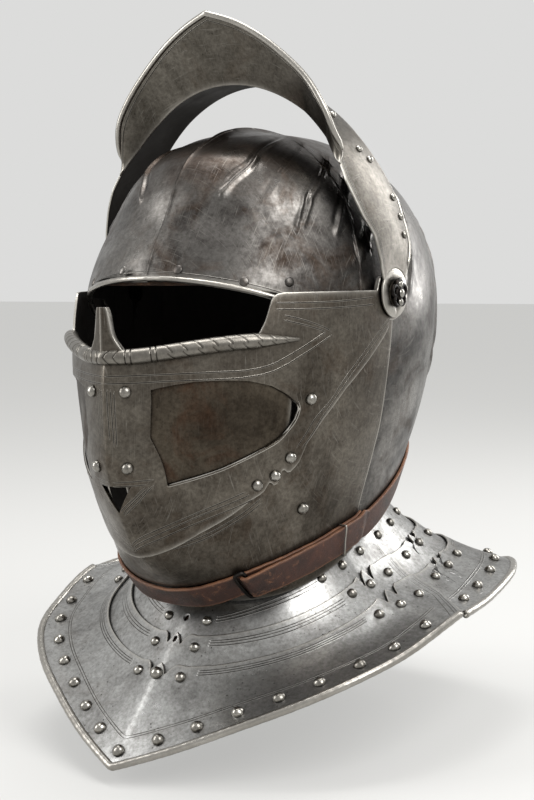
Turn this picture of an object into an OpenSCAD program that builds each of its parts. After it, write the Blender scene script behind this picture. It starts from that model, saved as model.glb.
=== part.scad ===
// Close helmet with a raised peak, a sight visor, a lower bevor and a laminated neck guard.
// Millimetres. The origin is the middle of the temple pivot axis, +X the wearer's left, -Y the front, +Z up.

/* [Plates] */
// thickness of the skull, visor, bevor and peak plates
plate_t = 1.6; // [1.4:0.1:1.8]
// thickness of the neck guard lames
lame_t = 1.4; // [1.2:0.1:1.5]
// gap between two plates that pass over each other
lap_gap = 0.5; // [0.4:0.1:0.6]

/* [Skull] */
// half width of the skull at the temples
skull_half_w = 96.5; // [95.5:0.5:97]
// distance from the pivots forward to the brow
skull_front = 106; // [104:0.5:108]
// distance from the pivots back to the back of the head
skull_back = 140; // [137:1:142]
// height of the dome over the pivots
dome_h = 100; // [97:1:102]
// height of the comb that runs from brow to nape
comb_h = 3; // [2:0.5:3.5]
// half width of the foot of the comb
comb_half_w = 6; // [5:0.5:8]
// radius of the bead along the brow edge
brow_bead_r = 1.7; // [1.5:0.1:2]

/* [Face] */
// room between the skull and the outside of the visor at each temple
temple_room = 5; // [4.9:0.1:5.5]
// distance from the pivots forward to the ridge of the visor
face_front = 145.5; // [143:0.5:148]
// radius of the roped roll under the sight
roll_r = 4.4; // [4:0.2:4.8]
// height of the nasal over the roll
nasal_h = 25; // [20:1:26]

/* [Peak] */
// room between the visor and the inside of the peak band at each temple
peak_room = 1.9; // [1.8:0.1:2.2]
// radius of the peak band over the crown
peak_r = 129; // [128.5:0.5:132]
// reach of the point of the brim from the pivot axis
brim_reach = 173; // [168:1:178]

/* [Neck guard] */
// half width of the neck guard at the shoulders
guard_half_w = 144; // [140:1:148]
// distance from the pivots forward to the front point
guard_front = 151; // [148:1:154]
// distance from the pivots back to the rear point
guard_back = 160; // [156:1:164]
// drop of the front point under the pivots
guard_drop = 266; // [262:1:270]
// radius of the rolled outer edge
edge_roll_r = 2.4; // [2:0.1:2.7]

/* [Rivets and straps] */
// radius of the round rivet heads
rivet_r = 3.3; // [3:0.1:3.6]
// radius of the flat lining rivet heads
flat_rivet_r = 2.6; // [2.4:0.1:3]
// radius of the temple pins
pin_r = 3; // [2.8:0.1:3.2]
// width of the neck strap
strap_w = 17; // [15:1:18]

/* [Hidden] */
face_half_w = skull_half_w + temple_room;
peak_half_w = face_half_w + peak_room;

// plain maths
function blend(a, b, t) = a + (b - a) * t;
function unit(v) = v / max(norm(v), 1e-9);
function sgn(v) = v < 0 ? -1 : 1;
function spow(v, p) = sgn(v) * pow(abs(v), p);
function knot(k, i) = k[min(max(i, 0), len(k) - 1)];
function through(k, u) =
  let(
    n = len(k) - 1,
    i = min(floor(max(u, 0)), n - 1),
    t = u - i,
    p0 = knot(k, i - 1),
    p1 = knot(k, i),
    p2 = knot(k, i + 1),
    p3 = knot(k, i + 2)
  )
  0.5 * (2 * p1 + (p2 - p0) * t
    + (2 * p0 - 5 * p1 + 4 * p2 - p3) * t * t
    + (3 * p1 - p0 - 3 * p2 + p3) * t * t * t);

// plates made of a grid of points, rows of columns
function row_normal(g, i, j, wrap) =
  let(
    m = len(g) - 1,
    n = len(g[0]) - 1,
    jl = wrap ? (j + n) % (n + 1) : max(j - 1, 0),
    jr = wrap ? (j + 1) % (n + 1) : min(j + 1, n),
    a = g[i][jr] - g[i][jl],
    b = g[min(i + 1, m)][j] - g[max(i - 1, 0)][j]
  )
  unit(cross(b, a));
function lifted(g, d, wrap = false) =
  [for (i = [0:len(g) - 1]) [for (j = [0:len(g[0]) - 1]) g[i][j] + d * row_normal(g, i, j, wrap)]];
function flat(l) = [for (r = l) each r];
module quilt(g_out, g_in, wrap = false) {
  m = len(g_out);
  n = len(g_out[0]);
  o = m * n;
  last = wrap ? n - 1 : n - 2;
  pts = concat(flat(g_out), flat(g_in));
  skin = [for (i = [0:m - 2]) for (j = [0:last])
    let(a = i * n + j, b = i * n + (j + 1) % n, c = b + n, d = a + n)
    each [[a, b, c], [a, c, d]]];
  lining = [for (f = skin) [f[0] + o, f[2] + o, f[1] + o]];
  head = [for (j = [0:last])
    let(a = j, b = (j + 1) % n)
    each [[a, b + o, b], [a, a + o, b + o]]];
  foot = [for (j = [0:last])
    let(a = (m - 1) * n + j, b = (m - 1) * n + (j + 1) % n)
    each [[a, b, b + o], [a, b + o, a + o]]];
  left_end = [for (i = [0:m - 2])
    let(a = i * n, d = a + n)
    each [[a, d, d + o], [a, d + o, a + o]]];
  right_end = [for (i = [0:m - 2])
    let(a = i * n + n - 1, d = a + n)
    each [[a, d + o, d], [a, a + o, d + o]]];
  ends = wrap ? [] : concat(left_end, right_end);
  polyhedron(points = pts, faces = concat(skin, lining, head, foot, ends), convexity = 8);
}

// skull surface: height, half width, front, back and middle of each level
skull_levels = [
  [0.985, 0.14, 0.13, 0.21, 5],
  [0.94, 0.36, 0.31, 0.42, 8],
  [0.82, 0.585, 0.55, 0.64, 12],
  [0.64, 0.78, 0.675, 0.8, 14],
  [0.44, 0.895, 0.775, 0.905, 16],
  [0.21, 0.97, 0.915, 0.975, 16],
  [0, 1, 1, 1, 16],
  [-0.26, 0.992, 1.02, 1, 16],
  [-0.52, 0.952, 1, 0.97, 16],
  [-0.78, 0.895, 0.95, 0.915, 16],
  [-1.04, 0.82, 0.9, 0.835, 16],
  [-1.3, 0.745, 0.85, 0.755, 16],
  [-1.5, 0.715, 0.8, 0.7, 16]
];
skull_power = 2.3;
pin_play = 0.05;
function skull_at(u, a) =
  let(
    k = through(skull_levels, u),
    mid = k[4],
    reach = cos(a) > 0 ? -skull_front * k[2] - mid : skull_back * k[3] - mid
  )
  [
    skull_half_w * k[1] * spow(sin(a), 2 / skull_power),
    mid + reach * pow(abs(cos(a)), 2 / skull_power),
    dome_h * k[0]
  ];
skull_cols = 44;
function skull_grid(u0, u1, rows) =
  [for (i = [0:rows]) [for (j = [0:skull_cols - 1]) skull_at(blend(u0, u1, i / rows), 360 * j / skull_cols)]];
skull_foot_u = 11.7;

module comb() {
  front_line = [for (u = [4.6:-0.4:0.2]) let(p = skull_at(u, 0)) [p[1], p[2]]];
  crown_line = [[(skull_at(0, 0)[1] + skull_at(0, 180)[1]) / 2, dome_h * 0.998]];
  rear_line = [for (u = [0.2:0.5:9.21]) let(p = skull_at(u, 180)) [p[1], p[2]]];
  line = concat(front_line, crown_line, rear_line);
  n = len(line) - 1;
  g_out = [for (i = [0:n])
    let(
      a = line[max(i - 1, 0)],
      b = line[min(i + 1, n)],
      d = unit(b - a),
      nn = [-d[1], d[0]],
      fade = min(1, min(i, n - i) / 3 + 0.15)
    )
    [for (s = [1, 0.35, 0, -0.35, -1])
      let(h = (abs(s) == 1 ? -0.7 : abs(s) == 0.35 ? comb_h * 0.45 : comb_h) * (abs(s) == 1 ? 1 : fade))
      [s * comb_half_w, line[i][0] + nn[0] * h, line[i][1] + nn[1] * h]]];
  g_in = [for (i = [0:n])
    let(
      a = line[max(i - 1, 0)],
      b = line[min(i + 1, n)],
      d = unit(b - a),
      nn = [-d[1], d[0]]
    )
    [for (s = [1, 0.35, 0, -0.35, -1]) [s * comb_half_w * 0.9, line[i][0] - nn[0], line[i][1] - nn[1]]]];
  quilt(g_out, g_in);
}

// cuts that run from side to side, drawn in the side view (forward, up)
module side_cut(shape, half = 200) {
  rotate([90, 0, 90])
    linear_extrude(height = 2 * half, center = true)
      polygon(shape);
}
module temple_bore(r) {
  rotate([0, 90, 0])
    cylinder(h = 2 * peak_half_w + 40, r = r, center = true, $fn = 48);
}

brow_line = [
  [-skull_front - 30, 9], [-skull_front + 8, 9.5], [-84, 4.5], [-62, -1], [-38, -3],
  [-26, -14], [-22, -60], [-10, -110], [-6, -140]
];
nape_line = [[30, -148], [66, -138], [94, -129], [180, -120]];
module skull() {
  color([0.62, 0.61, 0.59])
    difference() {
      union() {
        difference() {
          quilt(skull_grid(0, skull_foot_u, 17), lifted(skull_grid(0, skull_foot_u, 17), -plate_t, true), true);
          side_cut(concat(brow_line, [[-6, -260], [-skull_front - 30, -260]]));
          side_cut(concat(nape_line, [[180, -260], [-30, -260], [-30, -154]]));
        }
        crown_cap();
        comb();
      }
      temple_bore(pin_r);
    }
}
module crown_cap() {
  ring = [for (j = [0:skull_cols - 1]) skull_at(0, 360 * j / skull_cols)];
  peak = [0, 5, dome_h * 0.998];
  under = [for (p = ring) p - [0, 0, plate_t]];
  n = skull_cols;
  top = [for (j = [0:n - 1]) [(j + 1) % n, j, 2 * n]];
  bottom = [for (j = [0:n - 1]) [n + j, n + (j + 1) % n, 2 * n + 1]];
  side = [for (j = [0:n - 1]) let(k = (j + 1) % n) each [[j, k, n + j], [n + j, k, n + k]]];
  pts = concat(ring, under, [peak, peak - [0, 0, plate_t]]);
  polyhedron(points = pts, faces = concat(top, bottom, side), convexity = 4);
}

// face surface: height, half width, forward reach and pointedness of each level
face_levels = [
  [10, 1, 0.905, 1.25],
  [-16, 1, 0.965, 1.25],
  [-45, 0.968, 1, 1.25],
  [-75, 0.918, 0.997, 1.25],
  [-94, 0.868, 0.991, 1.27],
  [-117, 0.798, 0.935, 1.32],
  [-133, 0.75, 0.878, 1.4],
  [-147, 0.725, 0.825, 1.5],
  [-160, 0.705, 0.745, 1.7],
  [-170, 0.69, 0.66, 1.85],
  [-178, 0.672, 0.57, 2],
  [-184, 0.655, 0.47, 2.1]
];
face_rear_power = 2.2;
function face_at(u, s) =
  let(k = through(face_levels, u), a = 90 * s)
  [
    face_half_w * k[1] * spow(sin(a), 2 / k[3]),
    -face_front * k[2] * pow(abs(cos(a)), 2 / face_rear_power),
    k[0]
  ];
face_sides = [-1, -0.955, -0.9, -0.83, -0.75, -0.66, -0.56, -0.46, -0.36, -0.26, -0.17, -0.09, -0.035];
face_span = concat(face_sides, [0], [for (i = [len(face_sides) - 1:-1:0]) -face_sides[i]]);
function face_row(u, tail) =
  let(r = [for (s = face_span) face_at(u, s)], n = len(r) - 1)
  concat([r[0] + [0, tail, 0]], r, [r[n] + [0, tail, 0]]);
function face_grid(u0, u1, rows, tail) = [for (i = [0:rows]) face_row(blend(u0, u1, i / rows), tail)];

sight_floor = -29.5;
visor_low = [
  [-6, -18], [-17, -27], [-41, -47.5], [-58.5, -69.5], [-61.5, -88], [-69.5, -99], [-72.5, -98],
  [-73.5, -106], [-79, -104.5], [-79.5, -109.5], [-84, -113], [-95, -124.5], [-118, -147], [-180, -206]
];
visor_top = [
  [-180, sight_floor], [-136, sight_floor], [-110, -25.5], [-93.5, -21.8], [-91.2, -18.5],
  [-88.4, -12.6], [-85.6, -5], [-83.2, 0.3], [-80.8, 2], [-14, 2]
];
arm_r = 16;
module visor() {
  g = face_grid(0, 7.5, 15, 20);
  color([0.5, 0.48, 0.45])
    difference() {
      union() {
        intersection() {
          quilt(g, lifted(g, -plate_t));
          union() {
            side_cut(concat(visor_top, [[-2, 0]], visor_low, [[-200, -220], [-200, sight_floor]]));
            rotate([0, 90, 0])
              cylinder(h = 400, r = arm_r, center = true, $fn = 48);
          }
        }
        sight_roll();
        nasal();
      }
      for (s = [-1, 1])
        window_hole(s);
      breath_notch();
      temple_bore(pin_r + pin_play);
    }
}
// the roll climbs from the ridge to its two tips
function roll_u(s) =
  let(k = max(0, min(1, (abs(s) - 0.15) / 0.45)))
  blend(1.53, 1.27, k * k * (3 - 2 * k));
module sight_roll() {
  line = [for (i = [-12:12]) let(s = i * 0.057) face_at(roll_u(s), s)];
  n = len(line) - 1;
  ring = 10;
  g = [for (i = [0:n])
    let(
      d = unit(line[min(i + 1, n)] - line[max(i - 1, 0)]),
      side = unit(cross(d, [0, 0, 1])),
      up = cross(side, d),
      k = min(1, 0.35 + min(i, n - i) / 5)
    )
    [for (j = [0:ring - 1])
      line[i] + (side * (cos(360 * j / ring) + 0.1) + up * sin(360 * j / ring)) * roll_r * k]];
  tube(g);
}
module tube(g) {
  m = len(g);
  n = len(g[0]);
  skin = [for (i = [0:m - 2]) for (j = [0:n - 1])
    let(a = i * n + j, b = i * n + (j + 1) % n, c = b + n, d = a + n) each [[a, b, c], [a, c, d]]];
  head = [for (j = [1:n - 2]) [0, j + 1, j]];
  foot = [for (j = [1:n - 2]) [(m - 1) * n, (m - 1) * n + j, (m - 1) * n + j + 1]];
  polyhedron(points = flat(g), faces = concat(skin, head, foot), convexity = 8);
}
module nasal() {
  base_z = sight_floor + 1;
  y0 = -face_front - 1.6;
  outline = [
    [0, base_z - 4], [12, base_z - 4], [11.5, base_z + 2], [7, base_z + 6], [5, base_z + 13],
    [3.2, base_z + nasal_h], [0, base_z + nasal_h]
  ];
  for (s = [-1, 1])
    linear_cheek(outline, s, y0);
}
module linear_cheek(outline, s, y0) {
  n = len(outline);
  slope = 0.44;
  front = [for (p = outline) [s * p[0], y0 + slope * p[0], p[1]]];
  back = [for (p = outline) [s * p[0], y0 + slope * p[0] + 3.2, p[1]]];
  top = s < 0 ? [for (i = [1:n - 2]) [0, i, i + 1]] : [for (i = [1:n - 2]) [0, i + 1, i]];
  under = [for (f = top) [f[0] + n, f[2] + n, f[1] + n]];
  side = [for (a = [0:n - 1])
    let(b = (a + 1) % n)
    each (s < 0 ? [[a, a + n, b + n], [a, b + n, b]] : [[a, b, b + n], [a, b + n, a + n]])];
  polyhedron(points = concat(front, back), faces = concat(top, under, side));
}
window_shape = [
  [-133.7, -49.4], [-117.8, -45.3], [-97, -46], [-85.8, -49.4], [-70.5, -60.5], [-69.3, -63.5],
  [-74.3, -75], [-85.3, -84.4], [-104.5, -95.2], [-125.2, -103.8], [-133.3, -76.2]
];
module window_hole(s) {
  intersection() {
    translate([s * 60, 0, 0])
      cube([100, 400, 400], center = true);
    side_cut(window_shape);
  }
}
module breath_notch() {
  rotate([90, 0, 0])
    translate([0, 0, 80])
      linear_extrude(height = 120)
        polygon([[-10.5, -104], [10.5, -104], [0, -120]]);
}

bevor_in = plate_t + lap_gap;
bevor_top = [
  [-200, -200], [-132, -140], [-125, -136], [-110, -122.5], [-80, -90], [-62, -68], [-40, -38],
  [-18, -12], [0, -6]
];
bevor_foot = [[5.5, -156], [-8, -162], [-34, -171], [-60, -179], [-70, -183.5], [-76, -188], [-200, -200]];
module bevor() {
  g = lifted(face_grid(0, 11, 20, 4), -bevor_in);
  color([0.44, 0.42, 0.4])
    difference() {
      intersection() {
        quilt(g, lifted(g, -plate_t));
        union() {
          side_cut(concat(bevor_top, [[5.5, -8]], bevor_foot));
          rotate([0, 90, 0])
            cylinder(h = 400, r = arm_r - 1, center = true, $fn = 48);
        }
      }
      temple_bore(pin_r + pin_play);
    }
}

// peak: a band that turns about the pivot axis, with a pointed brim along its front edge
function band_at(t, turn) =
  let(r = peak_r * sin(t))
  [peak_half_w * cos(t), -r * cos(turn), r * sin(turn)];
// reach from the axis as a share of the band radius, turn of the front edge, turn of the rear edge
band_edges = [
  [0.1, 30, 150], [0.19, 50, 133], [0.3, 60.5, 121], [0.39, 62, 115], [0.46, 64, 111.5],
  [0.55, 67, 105], [0.63, 72, 101], [0.73, 78, 98], [0.85, 81, 96.5], [1, 81, 95.5]
];
function band_edge(share, side, i = 0) =
  i >= len(band_edges) - 2 || share <= band_edges[i + 1][0]
  ? let(a = band_edges[i], b = band_edges[i + 1]) blend(a[side], b[side], (share - a[0]) / (b[0] - a[0]))
  : band_edge(share, side, i + 1);
arm_disc_r = 14.5;
band_root = asin((arm_disc_r - 1.1) / peak_r);
band_ts = [band_root, 9, 12, 15.5, 19.5, 23.5, 28, 33, 38, 44, 50, 57, 64, 72, 81];
band_span = concat(band_ts, [90], [for (i = [len(band_ts) - 1:-1:0]) 180 - band_ts[i]]);
band_rows = 5;
function band_grid() =
  [for (i = [0:band_rows]) [for (t = band_span)
    let(k = sin(t)) band_at(t, blend(band_edge(k, 1), band_edge(k, 2), i / band_rows))]];
module peak_band() {
  g = band_grid();
  color([0.66, 0.64, 0.61])
    difference() {
      union() {
        quilt(lifted(g, plate_t), g);
        for (s = [-1, 1])
          translate([s * (face_half_w + lap_gap + plate_t / 2), 0, 0])
            rotate([0, 90, 0])
              cylinder(h = plate_t, r = arm_disc_r, center = true, $fn = 48);
      }
      temple_bore(pin_r + pin_play);
    }
}
// outer edge of the brim: side, forward and up, from the left end to the point
brim_edge = [
  [0.78, -0.122, 0.475],
  [0.772, -0.17, 0.56],
  [0.727, -0.188, 0.64],
  [0.602, -0.19, 0.745],
  [0.387, -0.205, 0.858],
  [0.188, -0.22, 0.93],
  [0, -0.243, 0.97]
];
brim_roots = [38, 44, 50.5, 58, 68, 79, 90];
function brim_grid() =
  let(n = len(brim_edge) - 1, steps = 14, span = [for (j = [0:2 * steps]) (j - steps) / steps])
  [for (i = [0:4]) [for (v = span)
    let(
      k = (1 - abs(v)) * n,
      e = through(brim_edge, k),
      outer = [sgn(-v) * e[0] * peak_half_w, e[1] * brim_reach, e[2] * brim_reach],
      t = through([for (r = brim_roots) [r]], k)[0],
      root = band_at(v > 0 ? 180 - t : t, band_edge(sin(t), 1) - 0.12)
    )
    v == 0 ? [0, blend(outer[1], root[1], i / 4), blend(outer[2], root[2], i / 4)] : blend(outer, root, i / 4)
  ]];
module brim() {
  g = brim_grid();
  color([0.4, 0.38, 0.35])
    quilt(lifted(g, plate_t), g);
}
module brim_rim() {
  color([0.75, 0.74, 0.72])
    bead(brim_grid()[0], rim_r, across = [0, 1, 0], shift = [0, plate_t / 2], drawn_in = 3);
}
// round bead along a line, moved over by shift (side, up), drawn in over the last few points of each end
rim_r = 1.9;
module bead(line, r, across = [0, 0, 1], shift = [0, 0], drawn_in = 0) {
  n = len(line) - 1;
  ring = 8;
  g = [for (i = [0:n])
    let(
      d = unit(line[min(i + 1, n)] - line[max(i - 1, 0)]),
      side = unit(cross(d, across)),
      up = cross(side, d),
      k = drawn_in > 0 ? min(1, 0.5 + min(i, n - i) / drawn_in) : 1,
      middle = line[i] + side * shift[0] + up * shift[1]
    )
    [for (j = [0:ring - 1]) middle + (side * cos(360 * j / ring) + up * sin(360 * j / ring)) * r * k]];
  tube(g);
}

// neck guard: inner ring and outer edge, then lames between them
ring_power = 2.1;
ring_half_w = 0.741 * skull_half_w;
ring_front = 0.651 * skull_front;
ring_back = 0.814 * skull_back;
ring_z = [-181, -177, -169, -157, -143, -129, -120];
function ring_at(a) =
  let(
    b = abs(a),
    reach = cos(a) > 0 ? -ring_front : ring_back,
    z = through([for (v = ring_z) [v]], b / 30)[0]
  )
  [ring_half_w * spow(sin(a), 2 / ring_power), reach * pow(abs(cos(a)), 2 / ring_power), z];
edge_shape = [
  [0, -1, 1],
  [0.235, -0.905, 0.952],
  [0.472, -0.782, 0.896],
  [0.68, -0.65, 0.846],
  [0.84, -0.485, 0.801],
  [0.935, -0.275, 0.765],
  [1, 0.03, 0.714],
  [0.985, 0.33, 0.7],
  [0.925, 0.66, 0.676],
  [0.78, 0.86, 0.68],
  [0.45, 0.97, 0.76],
  [0, 1, 0.82]
];
function edge_at(a) =
  let(k = through(edge_shape, abs(a) / 180 * 11))
  [sgn(a) * guard_half_w * k[0], k[1] * (k[1] < 0 ? guard_front : guard_back), -guard_drop * k[2]];
// over the ring the plates stand up as a collar
collar_rise = 90;
collar_flare = 0.1;
function sag(a) = 0.34 * max(0, sin(abs(a)));
function guard_at(a, t) =
  let(n = ring_at(a), e = edge_at(a), drop = t + sag(a) * sin(180 * pow(max(t, 0), 0.8)))
  t < 0
  ? [n[0] * (1 - collar_flare * t), n[1] * (1 - collar_flare * t), n[2] - collar_rise * t]
  : [blend(n[0], e[0], t), blend(n[1], e[1], t), blend(n[2], e[2], drop)];
tab = 4;
lame_gap = lame_t + lap_gap;
rear_lap = 2 * lap_gap + 0.2;
top_depth = 2 * lame_gap;
rear_depth = rear_lap + lame_t;
rear_mid_depth = lame_gap + rear_depth + 0.2;
nape_depth = top_depth + rear_depth + 0.4;
function shoulder(t) = blend(107, 99, max(0, (t - 0.6) / 0.4));
function past(a, from, span) = min(1, max(0, abs(a) - from) / span);
function middle_from(a) = 0.205 - 0.075 * sin(min(abs(a), 90)) + 0.13 * past(a, 100, 45);
function main_from(a) = 0.39 - 0.06 * sin(min(abs(a), 90)) + 0.14 * past(a, 100, 40);
front_span = [for (j = [-14:14]) spow(j / 14, 0.9)];
rear_span = [for (j = [0:24]) j / 24];
function front_grid(from, to, rows) =
  [for (i = [0:rows]) [for (v = front_span)
    let(a0 = 100 * v, t = blend(from(a0), to(a0), i / rows)) [v * shoulder(t), t]]];
function rear_grid(from, to, shares, tabbed) =
  [for (i = [0:len(shares) - 1]) [for (v = rear_span)
    let(
      a0 = blend(100, 260, v),
      t = blend(from(a0 > 180 ? 360 - a0 : a0), to(a0 > 180 ? 360 - a0 : a0), shares[i]),
      start = shoulder(t) + (i >= tabbed && t < 0.88 ? -tab : 0.8),
      a = blend(start, 360 - start, v)
    )
    [a > 180 ? a - 360 : a, t]]];
top_from = function(a) -0.05;
nape_from = function(a) -0.05 - 0.12 * (1 - past(a, 100, 50));
top_to = function(a) middle_from(a) + 0.1;
mid_from = function(a) middle_from(a);
mid_to = function(a) main_from(a) + 0.1;
low_from = function(a) main_from(a);
low_to = function(a) 0.985;
function guard_out(a, t) =
  unit(cross(guard_at(a, t + 0.01) - guard_at(a, t - 0.01), guard_at(a + 0.5, t) - guard_at(a - 0.5, t)));
function guard_under(g, depth) =
  [for (r = g) [for (q = r) guard_at(q[0], q[1]) - depth * guard_out(q[0], q[1])]];
module lame_between(g, depth) {
  quilt(guard_under(g, depth), guard_under(g, depth + lame_t));
}
function front_top_grid() = front_grid(top_from, top_to, 4);
function front_mid_grid() = front_grid(mid_from, mid_to, 4);
function front_low_grid() = front_grid(low_from, low_to, 7);
// round lobes on the upper edge of a lame, and the small holes below them
lobe_r = 3.9;
module lobe(a, t, depth) {
  n = guard_out(a, t);
  placed(guard_at(a, t) - depth * n, n)
    translate([0, 0, -lame_t])
      cylinder(h = lame_t, r = lobe_r, $fn = 24);
}
module lame_bore(a, t, depth) {
  n = guard_out(a, t);
  placed(guard_at(a, t) - depth * n, n)
    translate([0, 0, -2 * lame_t])
      cylinder(h = 4 * lame_t, r = 1.5, $fn = 20);
}
module front_top_lame() {
  color([0.72, 0.72, 0.72])
    difference() {
      lame_between(front_top_grid(), top_depth);
      lame_bore(0, 0.105, top_depth);
    }
}
module front_middle_lame() {
  color([0.7, 0.7, 0.7])
    difference() {
      union() {
        lame_between(front_mid_grid(), lame_gap);
        lobe(0, 0.2, lame_gap);
        for (s = [-1, 1])
          lobe(s * 89.5, 0.125, lame_gap);
      }
      lame_bore(0, 0.232, lame_gap);
    }
}
module front_main_lame() {
  color([0.74, 0.74, 0.74])
    union() {
      lame_between(front_low_grid(), 0);
      lobe(0, 0.385, 0);
      for (s = [-1, 1])
        lobe(s * 92, 0.325, 0);
    }
}
module rear_top_lame() {
  color([0.72, 0.72, 0.72])
    lame_between(rear_grid(nape_from, top_to, [0, 0.2, 0.4, 0.6, 0.8, 1], 3), nape_depth);
}
module rear_middle_lame() {
  color([0.7, 0.7, 0.7])
    lame_between(rear_grid(mid_from, mid_to, [0, 0.18, 0.36, 0.37, 0.68, 1], 3), rear_mid_depth);
}
module rear_main_lame() {
  color([0.74, 0.74, 0.74])
    lame_between(rear_grid(low_from, low_to, [0, 0.165, 0.175, 0.33, 0.5, 0.67, 0.84, 1], 2), rear_depth);
}

// rivets and studs stand on a surface: place, outward direction
module placed(at, out) {
  side = unit(cross(abs(out[2]) < 0.9 ? [0, 0, 1] : [1, 0, 0], out));
  up = cross(out, side);
  multmatrix([
    [side[0], up[0], out[0], at[0]],
    [side[1], up[1], out[1], at[1]],
    [side[2], up[2], out[2], at[2]],
    [0, 0, 0, 1]
  ])
    children();
}
module round_head(r, grip, sink = 0) {
  translate([0, 0, -sink])
    rotate_extrude($fn = 20)
      polygon(concat([[0, -grip], [0.42 * r, -grip], [0.42 * r, 0]],
                     r * [[1, 0], [0.95, 0.32], [0.78, 0.6], [0.45, 0.82], [0, 0.9]]));
}
module flat_head(r, grip) {
  rotate_extrude($fn = 20)
    polygon([[0, -grip], [0.5 * r, -grip], [0.5 * r, 0], [r, 0], [r * 0.85, r * 0.3], [0, r * 0.36]]);
}
function mirrored(p, s) = [s * p[0], p[1], p[2]];
function face_out(u, s) =
  unit(cross(face_at(u + 0.05, s) - face_at(u - 0.05, s), face_at(u, s + 0.01) - face_at(u, s - 0.01)));
function skull_out(u, a) =
  unit(cross(skull_at(u + 0.05, a) - skull_at(u - 0.05, a), skull_at(u, a + 1) - skull_at(u, a - 1)));
function band_out(t, turn) =
  let(p = band_at(t, turn), q = peak_half_w * peak_half_w, w = peak_r * peak_r)
  unit([p[0] / q, p[1] / w, p[2] / w]);
seat = 0.12;

visor_rivet_spots = [
  [2.18, 0.17], [3.96, 0.17], [2.423, 0.738], [3.873, 0.699], [4.325, 0.657], [4.528, 0.604]
];
visor_grip = plate_t + 0.4;
module visor_rivets() {
  color([0.75, 0.74, 0.72])
    for (s = [-1, 1])
      for (v = visor_rivet_spots)
        placed(mirrored(face_at(v[0], v[1]), s), mirrored(face_out(v[0], v[1]), s))
          round_head(rivet_r * 0.95, visor_grip, seat);
}
bevor_rivet_spot = [5.44, 0.767];
module bevor_rivets() {
  n = face_out(bevor_rivet_spot[0], bevor_rivet_spot[1]);
  p = face_at(bevor_rivet_spot[0], bevor_rivet_spot[1]) - bevor_in * n;
  color([0.75, 0.74, 0.72])
    for (s = [-1, 1])
      placed(mirrored(p, s), mirrored(n, s))
        round_head(rivet_r, plate_t + 0.6, seat);
}
// plates behind the windows
pane_t = 1.2;
pane_inner = 8;
pane_shape = [
  [-142, -43], [-118, -39], [-96, -40], [-82, -43], [-64, -57], [-63, -64], [-71.5, -76],
  [-83, -90], [-103, -101.5], [-124, -110.5], [-139, -113]
];
module window_pane(s) {
  g = lifted(face_grid(1.6, 5, 8, 0), -plate_t - 0.3);
  color([0.4, 0.36, 0.32])
    intersection() {
      quilt(g, lifted(g, -pane_t));
      side_cut(pane_shape);
      translate([s * (pane_inner + 50), -100, -75])
        cube([100, 120, 100], center = true);
    }
}
module window_pane_left() {
  window_pane(1);
}
module window_pane_right() {
  window_pane(-1);
}

// skull fittings
brow_spots = [[5.3, 9.4], [5.57, 32.1], [5.6, 48]];
module brow_rivets() {
  color([0.7, 0.69, 0.67])
    for (s = [-1, 1])
      for (v = brow_spots)
        placed(skull_at(v[0], s * v[1]), skull_out(v[0], s * v[1]))
          flat_head(flat_rivet_r, plate_t + liner_t + liner_room);
}
liner_t = 1.6;
liner_room = 0.5;
module brow_liner() {
  g = [for (u = [4.95, 5.15, 5.35, 5.6]) [for (a = [-66:6:66]) skull_at(u, a)]];
  inner = lifted(g, -plate_t - liner_room);
  color([0.3, 0.2, 0.12])
    quilt(inner, lifted(inner, -liner_t));
}
module brow_bead() {
  line = [for (a = [-60:4:60]) skull_at(brow_u(a), a)];
  color([0.72, 0.71, 0.69])
    bead(line, brow_bead_r, shift = [-plate_t / 2, 0]);
}
function brow_u(a) = 5.545 + 0.425 * pow(abs(a) / 42, 2.2);

// temple pins, washers and openwork nuts, left and right
stack_x = face_half_w + lap_gap + plate_t;
skull_x = skull_half_w * 0.996;
module temple_pins() {
  color([0.35, 0.33, 0.31])
    for (s = [-1, 1])
      rotate([0, s * 90, 0]) {
        translate([0, 0, skull_x - plate_t - 2.6])
          cylinder(h = 1.4, r = 6, $fn = 36);
        translate([0, 0, skull_x - plate_t - 2.6])
          cylinder(h = stack_x + 4.6 - skull_x + plate_t + 2.6, r = pin_r, $fn = 48);
      }
}
module temple_washers() {
  color([0.5, 0.48, 0.45])
    for (s = [-1, 1])
      rotate([0, s * 90, 0])
        translate([0, 0, stack_x + 0.3])
          difference() {
            cylinder(h = 0.9, r = 8, $fn = 40);
            translate([0, 0, -1])
              cylinder(h = 3, r = pin_r + pin_play, $fn = 48);
          }
}
petals = 6;
module rosette_nuts() {
  color([0.2, 0.18, 0.17])
    for (s = [-1, 1])
      rotate([0, s * 90, 0])
        translate([0, 0, stack_x + 1.3])
          difference() {
            union() {
              cylinder(h = 1, r = 8.6, $fn = 40);
              for (k = [0:petals - 1])
                rotate([0, 0, 360 * k / petals])
                  translate([5.9, 0, 0])
                    cylinder(h = 2.2, r1 = 2.6, r2 = 1.9, $fn = 24);
              cylinder(h = 3, r = 4.4, $fn = 32);
            }
            translate([0, 0, -3])
              cylinder(h = 3, r = 12, $fn = 40);
            translate([0, 0, -1])
              cylinder(h = 9, r = pin_r + pin_play, $fn = 48);
            for (k = [0:petals - 1])
              rotate([0, 0, 360 * (k + 0.5) / petals])
                translate([6, 0, -1])
                  cylinder(h = 6, r = 1, $fn = 20);
          }
}

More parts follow.
